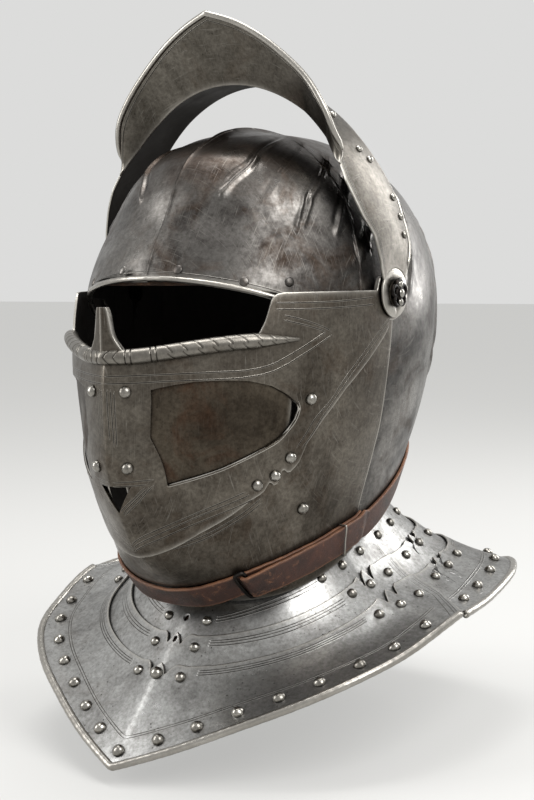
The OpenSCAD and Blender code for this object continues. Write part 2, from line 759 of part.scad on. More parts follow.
// band rivets: reach along the band, turn about the axis
band_rivet_spots = [[63, 90], [55, 91], [41, 90.3], [37.6, 94.4], [26.8, 105], [21.6, 110.5], [16.6, 113]];
module band_rivets() {
  color([0.75, 0.74, 0.72])
    for (s = [-1, 1])
      for (v = band_rivet_spots)
        let(n = band_out(v[0], v[1]))
          placed(mirrored(band_at(v[0], v[1]) + plate_t * n, s), mirrored(n, s))
            round_head(rivet_r * 0.72, plate_t + 0.5, seat);
}
module stop_studs() {
  color([0.6, 0.58, 0.55])
    for (s = [-1, 1])
      translate([s * (stack_x - 0.2), 11.4, 2.5])
        rotate([0, s * 90, 0])
          cylinder(h = 1.5, r = 1.7, $fn = 24);
}

// neck guard rivets
module guard_rivet(a, t, depth, r, grip) {
  n = guard_out(a, t);
  placed(guard_at(a, t) - depth * n, n)
    round_head(r, grip, seat);
}
small_grip = lame_t + 0.05;
front_top_spots = [[10.5, 0.105], [69, 0.02], [83.5, 0.025], [95.5, 0.025]];
module front_top_rivets() {
  color([0.78, 0.78, 0.77])
    for (s = [-1, 1])
      for (v = front_top_spots)
        guard_rivet(s * v[0], v[1], top_depth, rivet_r * 0.76, small_grip);
}
front_middle_spots = [[10, 0.262], [81.5, 0.18], [91, 0.213], [99.6, 0.231]];
module front_middle_rivets() {
  color([0.78, 0.78, 0.77])
    for (s = [-1, 1])
      for (v = front_middle_spots)
        guard_rivet(s * v[0], v[1], lame_gap, rivet_r * 0.78, small_grip);
}
front_main_spots = [[9.7, 0.45], [86, 0.431], [93.2, 0.49], [100, 0.525]];
module front_main_rivets() {
  color([0.78, 0.77, 0.75])
    union() {
      for (s = [-1, 1])
        for (v = front_main_spots)
          guard_rivet(s * v[0], v[1], 0, rivet_r * 0.82, small_grip);
      guard_rivet(0, 0.441, 0, rivet_r * 1.12, small_grip);
    }
}
row_inset = 13.5;
function row_t(a) = 1 - row_inset * (1 + 0.3 * abs(sin(2 * a))) / norm(edge_at(a) - ring_at(a));
front_row = [0, 11.3, 21, 31.5, 43, 55, 68, 80.7, 91];
function strip_spot(a, across) =
  let(b = a > 180 ? a - 360 : a)
  [b, row_t(b) + across / norm(edge_at(b) - ring_at(b))];
module front_edge_rivets() {
  color([0.78, 0.77, 0.75])
    for (a = concat(front_row, [for (k = [1:len(front_row) - 1]) -front_row[k]]))
      guard_rivet(a, row_t(a), 0, rivet_r, lame_t + liner_t + liner_room);
}
module front_edge_liner() {
  g = [for (w = [-7, 0, 5]) [for (j = [-14:14]) strip_spot(95 * j / 14, w)]];
  color([0.3, 0.2, 0.12])
    quilt(guard_under(g, lame_t + liner_room), guard_under(g, lame_t + liner_room + liner_t));
}
rear_row = [109, 118, 127, 136.5, 146.5, 157, 168.5, 180];
module rear_edge_rivets() {
  color([0.78, 0.77, 0.75])
    for (a = concat(rear_row, [for (k = [0:len(rear_row) - 2]) -rear_row[k]]))
      guard_rivet(a, row_t(a), rear_depth, rivet_r * 0.95, lame_t + liner_t + 1.6 * liner_room);
}
module rear_edge_liner() {
  g = [for (w = [-7, 0, 5]) [for (j = [0:20]) strip_spot(blend(109, 251, j / 20), w)]];
  depth = rear_depth + lame_t + 1.8 * liner_room;
  color([0.3, 0.2, 0.12])
    quilt(guard_under(g, depth), guard_under(g, depth + liner_t));
}
rear_top_spots = [[112, 0.04], [126, 0.07], [141, 0.12], [170, 0.14]];
module rear_top_rivets() {
  color([0.78, 0.78, 0.77])
    for (s = [-1, 1])
      for (v = rear_top_spots)
        guard_rivet(s * v[0], v[1], nape_depth, rivet_r * 0.76, small_grip);
}
rear_middle_spots = [[116, 0.235], [127, 0.273], [139, 0.333], [170, 0.34]];
module rear_middle_rivets() {
  color([0.78, 0.78, 0.77])
    for (s = [-1, 1])
      for (v = rear_middle_spots)
        guard_rivet(s * v[0], v[1], rear_mid_depth, rivet_r * 0.78, small_grip);
}
rear_main_spots = [[114.7, 0.488], [122.7, 0.517], [131, 0.539], [170, 0.56]];
module rear_main_rivets() {
  color([0.78, 0.77, 0.75])
    for (s = [-1, 1])
      for (v = rear_main_spots)
        guard_rivet(s * v[0], v[1], rear_depth, rivet_r * 0.82, small_grip);
}
// rolled outer edges
function edge_line(a0, a1, n, depth) =
  [for (j = [0:n])
    let(a = blend(a0, a1, j / n), b = a > 180 ? a - 360 : a)
    guard_at(b, 0.965) - (depth + lame_t / 2) * guard_out(b, 0.98)];
module front_edge_roll() {
  color([0.76, 0.76, 0.75])
    bead(edge_line(-98.5, 98.5, 40, 0), edge_roll_r);
}
module rear_edge_roll() {
  color([0.76, 0.76, 0.75])
    bead(edge_line(101, 259, 34, rear_depth), edge_roll_r);
}

// leathers inside the front lames
leather_t = 1.6;
module front_leathers() {
  color([0.3, 0.2, 0.12])
    for (a0 = [-60, 0, 60]) {
      g = [for (t = [0.0, 0.14, 0.27, 0.4]) [for (k = [-1, 0, 1]) [a0 + 5 * k, t]]];
      depth = top_depth + lame_t + 1.6 * liner_room;
      quilt(guard_under(g, depth), guard_under(g, depth + leather_t));
    }
}

// neck strap: a front length under the chin, a doubled length held by a loop and a keeper, a rear length
strap_t = 2;
strap_rest = 0.35;
strap_tail = 8;
loop_s = 0.47;
loop_r = 1.2;
keeper_s = 0.93;
function strap_u(s) = blend(9.55, 7.05, pow(abs(s), 1.5));
function strap_spot(v, s, lift) =
  let(c = strap_u(s), du = 0.3, len_u = norm(face_at(c + du, s) - face_at(c - du, s)) / (2 * du))
  face_at(c + v * strap_w / len_u, s) + (strap_rest - bevor_in + lift) * face_out(c, s);
function strap_pace(s) = norm(strap_spot(0, s + 0.01, 0) - strap_spot(0, s - 0.01, 0)) / 0.02;
function tail_point(p, s) = p + [0, strap_tail, strap_tail * 0.42];
module strap_strip(path, before = [], after = []) {
  g = [for (v = [-0.5, 0, 0.5])
    concat(
      [for (q = before) tail_point(strap_spot(v, q[0], q[1]), q[0])],
      [for (q = path) strap_spot(v, q[0], q[1])],
      [for (q = after) tail_point(strap_spot(v, q[0], q[1]), q[0])]
    )];
  quilt(lifted(g, strap_t / 2), lifted(g, -strap_t / 2));
}
module strap_front() {
  half = strap_t / 2;
  stop = loop_s - 0.8 / strap_pace(loop_s);
  color([0.33, 0.16, 0.1])
    strap_strip([for (j = [0:20]) [blend(-1, stop, j / 20), half]], before = [[-1, half]]);
}
turn_r = loop_r + 0.35 + strap_t / 2;
bar_lift = strap_t + 0.3 + loop_r;
module strap_fold() {
  half = strap_t / 2;
  bar_s = loop_s + 2.8 / strap_pace(loop_s);
  low = bar_lift - turn_r + 2.45 * half + 0.15;
  outer = [for (j = [0:9]) let(k = j / 9) [blend(1, bar_s, k), blend(low, bar_lift + turn_r, pow(k, 3))]];
  turn = [for (a = [30:30:150]) [bar_s - turn_r * sin(a) / strap_pace(loop_s), bar_lift + turn_r * cos(a)]];
  inner = [for (j = [0:10]) [blend(bar_s, 1, j / 10), bar_lift - turn_r]];
  color([0.36, 0.18, 0.11])
    strap_strip(concat(outer, turn, inner), after = [[1, bar_lift - turn_r]]);
}
// closed loop of wire, long sides along the strap's width
module closed_wire(line, r) {
  m = len(line);
  ring = 8;
  g = [for (i = [0:m - 1])
    let(
      d = unit(line[(i + 1) % m] - line[(i + m - 1) % m]),
      out = face_out(strap_u(loop_s), loop_s),
      side = unit(cross(d, out))
    )
    for (j = [0:ring - 1]) line[i] + side * r * cos(360 * j / ring) + out * r * sin(360 * j / ring)];
  skin = [for (i = [0:m - 1]) for (j = [0:ring - 1])
    let(
      a = i * ring + j,
      b = i * ring + (j + 1) % ring,
      k = (i + 1) % m,
      c = k * ring + (j + 1) % ring,
      d = k * ring + j
    ) each [[a, b, c], [a, c, d]]];
  polyhedron(points = g, faces = skin, convexity = 8);
}
module strap_loop() {
  p = strap_pace(loop_s);
  half_l = strap_w / 2 + loop_r + 0.8;
  half_w = 2.8;
  line = [for (a = [0:18:359])
    let(x = half_w * spow(cos(a), 0.5), y = half_l * spow(sin(a), 0.35))
    strap_spot(y / strap_w, loop_s + x / p, bar_lift)];
  color([0.3, 0.28, 0.26])
    closed_wire(line, loop_r);
}
module strap_keeper() {
  p = strap_pace(keeper_s);
  edge = 0.5 + 0.75 / strap_w;
  top = 2 * strap_t + 1.7;
  bent = [[-edge, 0.5], [-edge, top * 0.55], [-edge + 0.015, top], [0, top + 0.1]];
  bend = concat(bent, [for (k = [2:-1:0]) [-bent[k][0], bent[k][1]]]);
  color([0.75, 0.74, 0.72])
    bead([for (q = bend) strap_spot(q[0], keeper_s, q[1])], 0.55, across = [0.31, 0.2, 0.93]);
}
rear_strap_path = [
  [11.5, 88.3], [11.15, 95.8], [10.89, 104.3], [10.68, 113], [10.34, 126.7], [10.06, 140.4],
  [9.85, 157.8], [9.75, 168.6], [9.69, 180]
];
rear_strap_steps = 20;
module strap_rear() {
  n = len(rear_strap_path) - 1;
  half = [for (i = [0:rear_strap_steps]) through(rear_strap_path, n * i / rear_strap_steps)];
  spots = concat(half, [for (k = [rear_strap_steps - 1:-1:0]) [half[k][0], 360 - half[k][1]]]);
  g = [for (v = [-0.5, 0, 0.5]) [for (q = spots)
    let(du = 0.3, len_u = norm(skull_at(q[0] + du, q[1]) - skull_at(q[0] - du, q[1])) / (2 * du))
    skull_at(q[0] + v * strap_w / len_u, q[1]) + strap_rest * skull_out(q[0], q[1])]];
  color([0.33, 0.16, 0.1])
    quilt(lifted(g, strap_t), g);
}

skull();
brow_rivets();
brow_liner();
brow_bead();
temple_pins();
temple_washers();
rosette_nuts();
visor();
visor_rivets();
window_pane_left();
window_pane_right();
bevor();
bevor_rivets();
strap_front();
strap_fold();
strap_loop();
strap_keeper();
strap_rear();
peak_band();
brim();
brim_rim();
band_rivets();
stop_studs();
front_top_lame();
front_top_rivets();
front_middle_lame();
front_middle_rivets();
front_main_lame();
front_main_rivets();
front_leathers();
front_edge_rivets();
front_edge_liner();
front_edge_roll();
rear_top_lame();
rear_top_rivets();
rear_middle_lame();
rear_middle_rivets();
rear_main_lame();
rear_main_rivets();
rear_edge_rivets();
rear_edge_liner();
rear_edge_roll();
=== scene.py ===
import math

import bpy
import numpy as np
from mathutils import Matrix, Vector


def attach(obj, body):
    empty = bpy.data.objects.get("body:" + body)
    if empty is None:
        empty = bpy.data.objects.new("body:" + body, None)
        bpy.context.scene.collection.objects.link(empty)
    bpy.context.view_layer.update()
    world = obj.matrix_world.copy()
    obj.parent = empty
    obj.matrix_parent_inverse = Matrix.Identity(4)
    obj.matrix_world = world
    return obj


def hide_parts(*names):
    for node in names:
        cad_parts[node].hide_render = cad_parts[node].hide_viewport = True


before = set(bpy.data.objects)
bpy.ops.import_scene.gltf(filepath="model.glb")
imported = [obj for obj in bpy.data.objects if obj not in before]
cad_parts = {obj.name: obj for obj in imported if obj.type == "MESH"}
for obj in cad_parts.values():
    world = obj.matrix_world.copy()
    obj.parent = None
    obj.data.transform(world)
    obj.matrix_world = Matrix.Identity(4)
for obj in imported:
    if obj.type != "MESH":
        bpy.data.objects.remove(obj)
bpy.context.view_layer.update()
print("frame loaded")

# sizes, millimetres

helmet = {
    "plate": 1.6, "lame": 1.4, "gap": 0.5,
    "skullWide": 96.5, "skullFront": 106, "skullBack": 140, "dome": 100,
    "comb": 3, "combWide": 6,
    "faceWide": 101.5, "faceFront": 145.5,
    "bandWide": 103.4, "bandReach": 129, "brimReach": 173,
    "guardWide": 144, "guardFront": 151, "guardBack": 160, "guardDrop": 266,
    "ringWide": 0.741 * 96.5, "ringFront": 0.651 * 106, "ringBack": 0.814 * 140,
    "rivet": 3.3, "pinBore": 3.05, "disc": 14.5, "bead": 1.7,
    "roll": 4.4, "rim": 1.9, "edgeRoll": 2.4, "pane": 1.2,
}
mm = 0.001
skullLevels = [
    [0.985, 0.14, 0.13, 0.21, 5], [0.94, 0.36, 0.31, 0.42, 8], [0.82, 0.585, 0.55, 0.64, 12],
    [0.64, 0.78, 0.675, 0.8, 14], [0.44, 0.895, 0.775, 0.905, 16], [0.21, 0.97, 0.915, 0.975, 16],
    [0, 1, 1, 1, 16], [-0.26, 0.992, 1.02, 1, 16], [-0.52, 0.952, 1, 0.97, 16],
    [-0.78, 0.895, 0.95, 0.915, 16], [-1.04, 0.82, 0.9, 0.835, 16], [-1.3, 0.745, 0.85, 0.755, 16],
    [-1.5, 0.715, 0.8, 0.7, 16],
]
faceLevels = [
    [10, 1, 0.905, 1.25], [-16, 1, 0.965, 1.25], [-45, 0.968, 1, 1.25], [-75, 0.918, 0.997, 1.25],
    [-94, 0.868, 0.991, 1.27], [-117, 0.798, 0.935, 1.32], [-133, 0.75, 0.878, 1.4],
    [-147, 0.725, 0.825, 1.5], [-160, 0.705, 0.745, 1.7], [-170, 0.69, 0.66, 1.85],
    [-178, 0.672, 0.57, 2], [-184, 0.655, 0.47, 2.1],
]


# surfaces of the plates


def through(table, u):
    k = np.asarray(table, float)
    n = len(k) - 1
    u = np.asarray(u, float)
    i = np.clip(np.floor(np.maximum(u, 0)), 0, n - 1).astype(int)
    t = (u - i)[..., None]
    a, b, c, d = (k[np.clip(i + o, 0, n)] for o in (-1, 0, 1, 2))
    return 0.5 * (2 * b + (c - a) * t + (2 * a - 5 * b + 4 * c - d) * t**2 + (3 * b - a - 3 * c + d) * t**3)


def power(v, p):
    return np.sign(v) * np.abs(v) ** p


def smooth(x):
    x = np.clip(x, 0, 1)
    return x * x * (3 - 2 * x)


def spread(points, n):
    points = np.asarray(points, float)
    return through(points, np.linspace(0, len(points) - 1, n))


def unit(v):
    return v / np.maximum(np.linalg.norm(v, axis=-1, keepdims=True), 1e-12)


# length run along a line of points, up to each point
def runOf(p):
    return np.concatenate([[0], np.cumsum(np.linalg.norm(np.diff(p, axis=0), axis=1))])


def skullAt(u, a):
    u, a = np.broadcast_arrays(np.asarray(u, float), np.asarray(a, float))
    k = through(skullLevels, np.maximum(u, 0))
    r = np.radians(a)
    mid = k[..., 4]
    reach = np.where(
        np.cos(r) > 0, -helmet["skullFront"] * k[..., 2], helmet["skullBack"] * k[..., 3]
    ) - mid
    x = helmet["skullWide"] * k[..., 1] * power(np.sin(r), 2 / 2.3)
    y = mid + reach * np.abs(np.cos(r)) ** (2 / 2.3)
    z = helmet["dome"] * k[..., 0]
    t = np.clip(1 + u, 0, 1)
    crown = u < 0
    x = np.where(crown, x * t, x)
    y = np.where(crown, 5 + (y - 5) * t, y)
    z = np.where(crown, z + 1.3 * (1 - t**2), z)
    return np.stack([x, y, z], -1)


def faceAt(u, s):
    u, s = np.broadcast_arrays(np.asarray(u, float), np.asarray(s, float))
    k = through(faceLevels, u)
    inside = np.clip(s, -1, 1)
    r = inside * math.pi / 2
    x = helmet["faceWide"] * k[..., 1] * power(np.sin(r), 2 / k[..., 3])
    y = -helmet["faceFront"] * k[..., 2] * np.abs(np.cos(r)) ** (2 / 2.2)
    y = y + (np.abs(s) - np.abs(inside)) * 100
    return np.stack([x, y, k[..., 0]], -1)


def bandAt(turn, t):
    turn, t = np.broadcast_arrays(np.asarray(turn, float), np.asarray(t, float))
    r = helmet["bandReach"] * np.sin(np.radians(t))
    w = np.radians(turn)
    return np.stack([helmet["bandWide"] * np.cos(np.radians(t)), -r * np.cos(w), r * np.sin(w)], -1)


ringZ = [-181, -177, -169, -157, -143, -129, -120]
edgeShape = [
    [0, -1, 1], [0.235, -0.905, 0.952], [0.472, -0.782, 0.896], [0.68, -0.65, 0.846], [0.84, -0.485, 0.801],
    [0.935, -0.275, 0.765], [1, 0.03, 0.714], [0.985, 0.33, 0.7], [0.925, 0.66, 0.676], [0.78, 0.86, 0.68],
    [0.45, 0.97, 0.76], [0, 1, 0.82],
]


def ringAt(a):
    b = np.abs(a)
    r = np.radians(a)
    reach = np.where(np.cos(r) > 0, -helmet["ringFront"], helmet["ringBack"])
    z = through([[v] for v in ringZ], b / 30)[..., 0]
    return np.stack(
        [helmet["ringWide"] * power(np.sin(r), 2 / 2.1), reach * np.abs(np.cos(r)) ** (2 / 2.1), z], -1
    )


def edgeAt(a, soft=1.0):
    x = through(edgeShape, np.abs(a) / 180 * 11)[..., 0]
    k = through(edgeShape, np.sqrt(a * a + soft) / 180 * 11)
    y = k[..., 1] * np.where(k[..., 1] < 0, helmet["guardFront"], helmet["guardBack"])
    return np.stack(
        [np.where(a < 0, -1, 1) * helmet["guardWide"] * x, y, -helmet["guardDrop"] * k[..., 2]], -1
    )


def guardAt(t, a):
    t, a = np.broadcast_arrays(np.asarray(t, float), np.asarray(a, float))
    a = np.where(a > 180, a - 360, a)
    soft = 1 + 6 * smooth((0.93 - t) / 0.14)
    n, e = ringAt(a), edgeAt(a, soft)
    sag = 0.34 * np.maximum(0, np.sin(np.radians(np.sqrt(a * a + soft))))
    drop = t + sag * np.sin(math.pi * np.maximum(t, 0) ** 0.8)
    flat = n[..., :2] + (e[..., :2] - n[..., :2]) * t[..., None]
    down = n[..., 2] + (e[..., 2] - n[..., 2]) * drop
    collar = n[..., :2] * (1 - 0.1 * t)[..., None]
    up = n[..., 2] - 90 * t
    low = t < 0
    return np.concatenate([np.where(low[..., None], collar, flat), np.where(low, up, down)[..., None]], -1)


def outOf(at, du, dv, sign=1):
    def out(u, v):
        a = at(u + du, v) - at(u - du, v)
        b = at(u, v + dv) - at(u, v - dv)
        return sign * unit(np.cross(a, b))

    return out


faceOut = outOf(faceAt, 0.05, 0.01)
guardOut = outOf(guardAt, 0.01, 0.5)


def bandOut(turn, t):
    p = bandAt(turn, t)
    return unit(p / np.array([helmet["bandWide"] ** 2, helmet["bandReach"] ** 2, helmet["bandReach"] ** 2]))


def skullBaseOut(u, a):
    n = outOf(skullAt, 0.04, 0.6)(np.maximum(u, -0.9), a)
    p = skullAt(u, a)
    top = np.clip((-np.asarray(u) - 0.4) / 0.5, 0, 1)[..., None]
    return unit(n * (1 - top) + np.array([0, 0, 1.0]) * top) if np.ndim(u) else n if u > -0.5 else unit(p)


# raised flutes of the skull: level and turn of points along each, width and height of the ridge,
# depth and place of the hollow beside it
flutes = [
    {
        "line": [(3.33, 19.0), (2.84, 24.8), (2.37, 33.9), (1.62, 46.4), (0.7, 82)], "wide": 1.15,
        "high": 1.5, "hollow": 0.9, "off": 3.0
    },
    {
        "line": [(3.5, 35.8), (2.54, 47.7), (1.01, 84.7)], "wide": 0.6, "high": 0.3, "hollow": 0.35,
        "off": 1.3
    },
    {"line": [(3.44, 38.2), (2.5, 50.6), (1.01, 88)], "wide": 0.6, "high": 0.3, "hollow": 0.35, "off": 1.3},
    {
        "line": [(4.15, 49.6), (3.64, 53.2), (3.07, 59.2), (1.66, 88.4)], "wide": 0.9, "high": 1.1,
        "hollow": 0.6, "off": -1.9
    },
    {
        "line": [(4.13, 52.4), (3.62, 56.4), (3.04, 62.8), (1.63, 93.0)], "wide": 0.9, "high": 1.2,
        "hollow": 0.9, "off": 2.5
    },
    {
        "line": [(4.35, 66), (3.61, 72.0), (2.79, 82.7), (1.9, 104)], "wide": 1.0, "high": 1.1,
        "hollow": 0.8, "off": 2.6
    },
    {
        "line": [(5.14, 72.6), (4.8, 76.7), (4.55, 79.4), (3.2, 96)], "wide": 1.1, "high": 1.1,
        "hollow": 0.8, "off": 2.6
    },
    {
        "line": [(5.93, 94.8), (5.27, 97.5), (4.12, 102.7), (2.9, 112), (1.9, 128)], "wide": 1.4,
        "high": 1.2, "hollow": 0.7, "off": 3.2
    },
    {
        "line": [(8.02, 122.8), (7.03, 125.3), (5.6, 126), (4.2, 129), (2.6, 140)], "wide": 1.7,
        "high": 1.3, "hollow": 0.7, "off": 3.6
    },
    {
        "line": [(8.3, 148), (6.6, 148), (4.8, 150), (2.8, 157)], "wide": 1.7, "high": 1.3, "hollow": 0.7,
        "off": 3.6
    },
]


fluteLines = []
for f in flutes:
    for side in (1, -1):
        uv = spread(f["line"], 40)
        fluteLines.append(
            (skullAt(uv[:, 0], side * uv[:, 1]), skullBaseOut(uv[:, 0], side * uv[:, 1]), f, side)
        )


def relief(p):
    flatten = p.reshape(-1, 3)
    high = np.zeros(len(flatten))
    for line, outs, f, side in fluteLines:
        near = np.where(
            (np.linalg.norm(flatten - line.mean(0), axis=1) < 80) & (flatten[:, 0] * side > -4)
        )[0]
        if not len(near):
            continue
        q = flatten[near]
        a, b = line[:-1], line[1:]
        ab = b - a
        best = np.full(len(q), 1e9)
        along = np.zeros(len(q))
        lateral = np.zeros(len(q))
        run = np.concatenate([[0], np.cumsum(np.linalg.norm(ab, axis=1))])
        for k in range(len(a)):
            t = np.clip(((q - a[k]) @ ab[k]) / (ab[k] @ ab[k]), 0, 1)
            r = q - a[k] - t[:, None] * ab[k]
            d = np.linalg.norm(r, axis=1)
            closer = d < best
            best = np.where(closer, d, best)
            along = np.where(closer, run[k] + t * (run[k + 1] - run[k]), along)
            sideways = unit(np.cross(unit(ab[k]), outs[k]))
            lateral = np.where(closer, np.sign(r @ sideways) * d, lateral)
        lateral = lateral * side
        ends = smooth((run[-1] - along) / (0.5 * run[-1]))
        start = along < 0.02
        drop = f["wide"] * (1.15 + 0.5 * np.exp(-(((along - 3) / 3.5) ** 2)))
        ridge = f["high"] * np.exp(-((best / drop) ** 2))
        hollow = f["hollow"] * np.exp(
            -(((lateral + f["off"]) / (0.5 * abs(f["off"]))) ** 2)
        ) * smooth((along - 1) / 9) * ~start
        high[near] += (ridge - hollow) * ends * (best < 14)
    return high.reshape(p.shape[:-1])


def combHigh(u, a, p):
    x = np.abs(p[..., 0])
    back = p[..., 1] > 5
    fadeFront = smooth((2.3 - u) / 1.3)
    fadeBack = smooth((9.3 - u) / 1.3)
    fade = np.where(back, fadeBack, fadeFront)
    comb = helmet["comb"] * fade * np.clip(1 - x / helmet["combWide"], 0, 1) ** 1.9
    fuller = np.where(
        back, 0,
        smooth((u - 1.2) / 2.0) * (
            4.5 * np.exp(-((a / 19) ** 2)) - 1.6 * np.exp(-(((np.abs(a) - 50) / 18) ** 2))
        )
    )
    keel = fuller + 0.9 * np.exp(-x / 1.1) * np.where(
        back, 0, smooth((5.7 - u) / 0.3) * smooth((u - 1.7) / 0.5)
    )
    return comb + keel


def skullSurf(u, a):
    p = skullAt(u, a)
    return p + skullBaseOut(u, a) * (
        relief(p) + combHigh(np.broadcast_to(u, p.shape[:-1]), a, p)
    )[..., None]


# making meshes


def deselectAll():
    if bpy.context.object and bpy.context.object.mode != "OBJECT":
        bpy.ops.object.mode_set(mode="OBJECT")
    bpy.ops.object.select_all(action="DESELECT")


# a primitive grid whose vertices are placed on a surface; points is rows x columns x 3, millimetres
def gridPiece(name, points, closeRows=False, closeCols=False, capEnds=False, **marks):
    if closeRows:
        points = np.concatenate([points, points[:1]])
    if closeCols:
        points = np.concatenate([points, points[:, :1]], 1)
    r, c = points.shape[:2]
    deselectAll()
    bpy.ops.mesh.primitive_grid_add(x_subdivisions=c - 1, y_subdivisions=r - 1, size=1, calc_uvs=False)
    piece = bpy.context.object
    piece.name = name
    piece.data.name = name
    piece.data.vertices.foreach_set("co", (points * mm).astype(np.float32).ravel())
    for mark, values in marks.items():
        values = np.asarray(values, float)
        if closeRows:
            values = np.concatenate([values, values[:1]])
        if closeCols:
            values = np.concatenate([values, values[:, :1]], 1)
        layer = piece.data.attributes.new(mark, "FLOAT", "POINT")
        layer.data.foreach_set("value", values.astype(np.float32).ravel())
    piece.data.update()
    bpy.ops.object.mode_set(mode="EDIT")
    bpy.ops.mesh.select_all(action="SELECT")
    bpy.ops.mesh.remove_doubles(threshold=1e-6)
    if capEnds:
        bpy.ops.mesh.select_all(action="DESELECT")
        bpy.ops.mesh.select_mode(type="EDGE")
        bpy.ops.mesh.select_non_manifold(
            extend=False, use_wire=False, use_multi_face=False, use_non_contiguous=False, use_verts=False
        )
        bpy.ops.mesh.fill_holes(sides=0)
        bpy.ops.mesh.select_mode(type="VERT")
        bpy.ops.mesh.select_all(action="SELECT")
    bpy.ops.mesh.normals_make_consistent(inside=False)
    bpy.ops.object.mode_set(mode="OBJECT")
    bpy.ops.object.shade_smooth()
    return piece


def equalPace(at, lo, hi, pace, extra=()):
    v = np.linspace(lo, hi, 4001)
    p = at(v)
    run = runOf(p)
    n = max(2, int(round(run[-1] / pace)))
    places = list(np.interp(np.linspace(0, run[-1], n + 1), run, v))
    return np.unique(np.round(places + [e for e in extra if lo <= e <= hi], 6))


# a sheet between two edges with rounded rims, edge wear and painted shade on its inner side; shares says
# where the outer rows lie
def plate(
    name, at, out, cols, top, low, thick, rows, inner=16, rim=0.45, wrap=False, ends=False, shares=None,
    innerShade=1.0
):
    cols = np.asarray(cols, float)
    n = len(cols)
    share = np.linspace(0, 1, 97)[:, None]
    params = top + (low - top) * share
    line = at(params, cols[None, :])
    run = np.concatenate(
        [np.zeros((1, n)), np.cumsum(np.linalg.norm(np.diff(line, axis=0), axis=2), axis=0)]
    )
    length = run[-1]
    r = np.minimum(rim, np.maximum(length / 2 - 1e-4, 0))

    def sigma(k):
        i = np.linspace(0, 1, k + 1)
        return 0.35 * 0.5 * (1 - np.cos(math.pi * i)) + 0.65 * i

    quarter = [math.radians(q) for q in (30, 60, 90)]
    steps = []
    for w in sigma(rows) if shares is None else shares:
        steps.append((r + (length - 2 * r) * w, 0 * r))
    for w in quarter:
        steps.append((length - r + r * math.sin(w), r * (1 - math.cos(w))))
    for w in quarter[::-1]:
        steps.append((length - r + r * math.sin(w), thick - r * (1 - math.cos(w))))
    for w in sigma(inner)[::-1]:
        steps.append((r + (length - 2 * r) * w, thick + 0 * r))
    for w in quarter:
        steps.append((r - r * math.sin(w), thick - r * (1 - math.cos(w))))
    for w in quarter[::-1]:
        steps.append((r - r * math.sin(w), r * (1 - math.cos(w))))
    dist = np.array([s[0] for s in steps])
    depth = np.array([s[1] for s in steps])
    place = np.empty_like(dist)
    for j in range(n):
        place[:, j] = np.interp(dist[:, j], run[:, j], params[:, j])
    away = np.minimum(dist, length - dist)
    if ends:
        mid = at(np.median(params, axis=0), cols)
        pace = runOf(mid)
        fromEnd = np.minimum(pace, pace[-1] - pace)
        pinch = np.where(fromEnd < rim, rim - np.sqrt(np.maximum(rim**2 - (rim - fromEnd) ** 2, 0)), 0)
        depth = np.clip(depth, pinch[None, :], thick - pinch[None, :])
        away = np.minimum(away, fromEnd[None, :])
    points = at(place, cols[None, :]) - out(place, cols[None, :]) * depth[..., None]
    wear = np.exp(-away / 0.55) + 0.35 * np.exp(-away / 2.2)
    # painted shade on the inner side
    inside = innerShade * smooth((depth / thick - 0.6) / 0.35)
    return gridPiece(
        name, points, closeRows=True, closeCols=wrap, capEnds=ends, wear=wear * (1 - inside), inside=inside
    )


# strips laid along lines on a surface, left and right; each section point is across, height, rubbed (wear,
# and painted highlight on the lips), sunk (painted shade in the cut)
engravedLine = [
    (-0.55, -0.05, 0, 0), (-0.33, 0.07, 0.6, 0), (-0.17, 0.03, 0, 1), (0.17, 0.03, 0, 1),
    (0.33, 0.07, 0.6, 0), (0.55, -0.05, 0, 0), (0.5, -0.4, 0, 0), (-0.5, -0.4, 0, 0)
]
filedEdge = [
    (1.0, -0.03, 0.5, 0), (0.5, 0.06, 1, 0), (-0.55, -0.8, 1, 0), (-0.65, -1.5, 0, 1), (0.4, -1.5, 0, 1)
]


def strips(name, at, out, lines, section=engravedLine, pace=1.3, sides=(1, -1)):
    across, height, rubbedAndHighlit, sunkShade = (np.array(k, float) for k in zip(*section))
    pieces = []
    for line in lines:
        uv = spread(line, 24 * max(2, len(line)))
        p = at(uv[:, 0], uv[:, 1])
        run = runOf(p)
        n = max(3, int(run[-1] / pace))
        even = np.linspace(0, run[-1], n + 1)
        u, v = np.interp(even, run, uv[:, 0]), np.interp(even, run, uv[:, 1])
        p, normal = at(u, v), out(u, v)
        sideways = unit(np.cross(normal, np.gradient(p, axis=0)))
        taper = np.clip(np.minimum(even, run[-1] - even) / 2.5 + 0.2, 0, 1)
        pts = p[None] + sideways[None] * (
            across[:, None, None] * taper[None, :, None]
        ) + normal[None] * (height[:, None, None] * taper[None, :, None])
        full = np.ones((len(section), n + 1))
        for side in sides:
            pieces.append(
                gridPiece(
                    "line", pts * [side, 1, 1], closeRows=True, capEnds=True, wear=rubbedAndHighlit[:, None] * full,
                    groove=sunkShade[:, None] * full * taper
                )
            )
    return join(name, pieces)


def tubePoints(line, radius, around=12, ups=None, squeeze=1.0, turn=0.0):
    line = np.asarray(line, float)
    d = unit(np.gradient(line, axis=0))
    up = unit(ups if ups is not None else np.broadcast_to([0, 0, 1.0], line.shape))
    side = unit(np.cross(d, up))
    up = np.cross(side, d)
    w = np.linspace(0, 2 * math.pi, around, endpoint=False) + turn
    radius = np.broadcast_to(radius, len(line))[None, :, None]
    return line[None] + radius * (
        np.cos(w)[:, None, None] * side[None] * squeeze + np.sin(w)[:, None, None] * up[None]
    )


def tube(name, line, radius, around=12, ups=None, wear=0.5):
    pts = tubePoints(line, radius, around, ups)
    return gridPiece(name, pts, closeRows=True, capEnds=True, wear=np.full(pts.shape[:2], wear))


def modifier(piece, kind, **settings):
    m = piece.modifiers.new(kind.title(), kind)
    for k, v in settings.items():
        setattr(m, k, v)
    return m


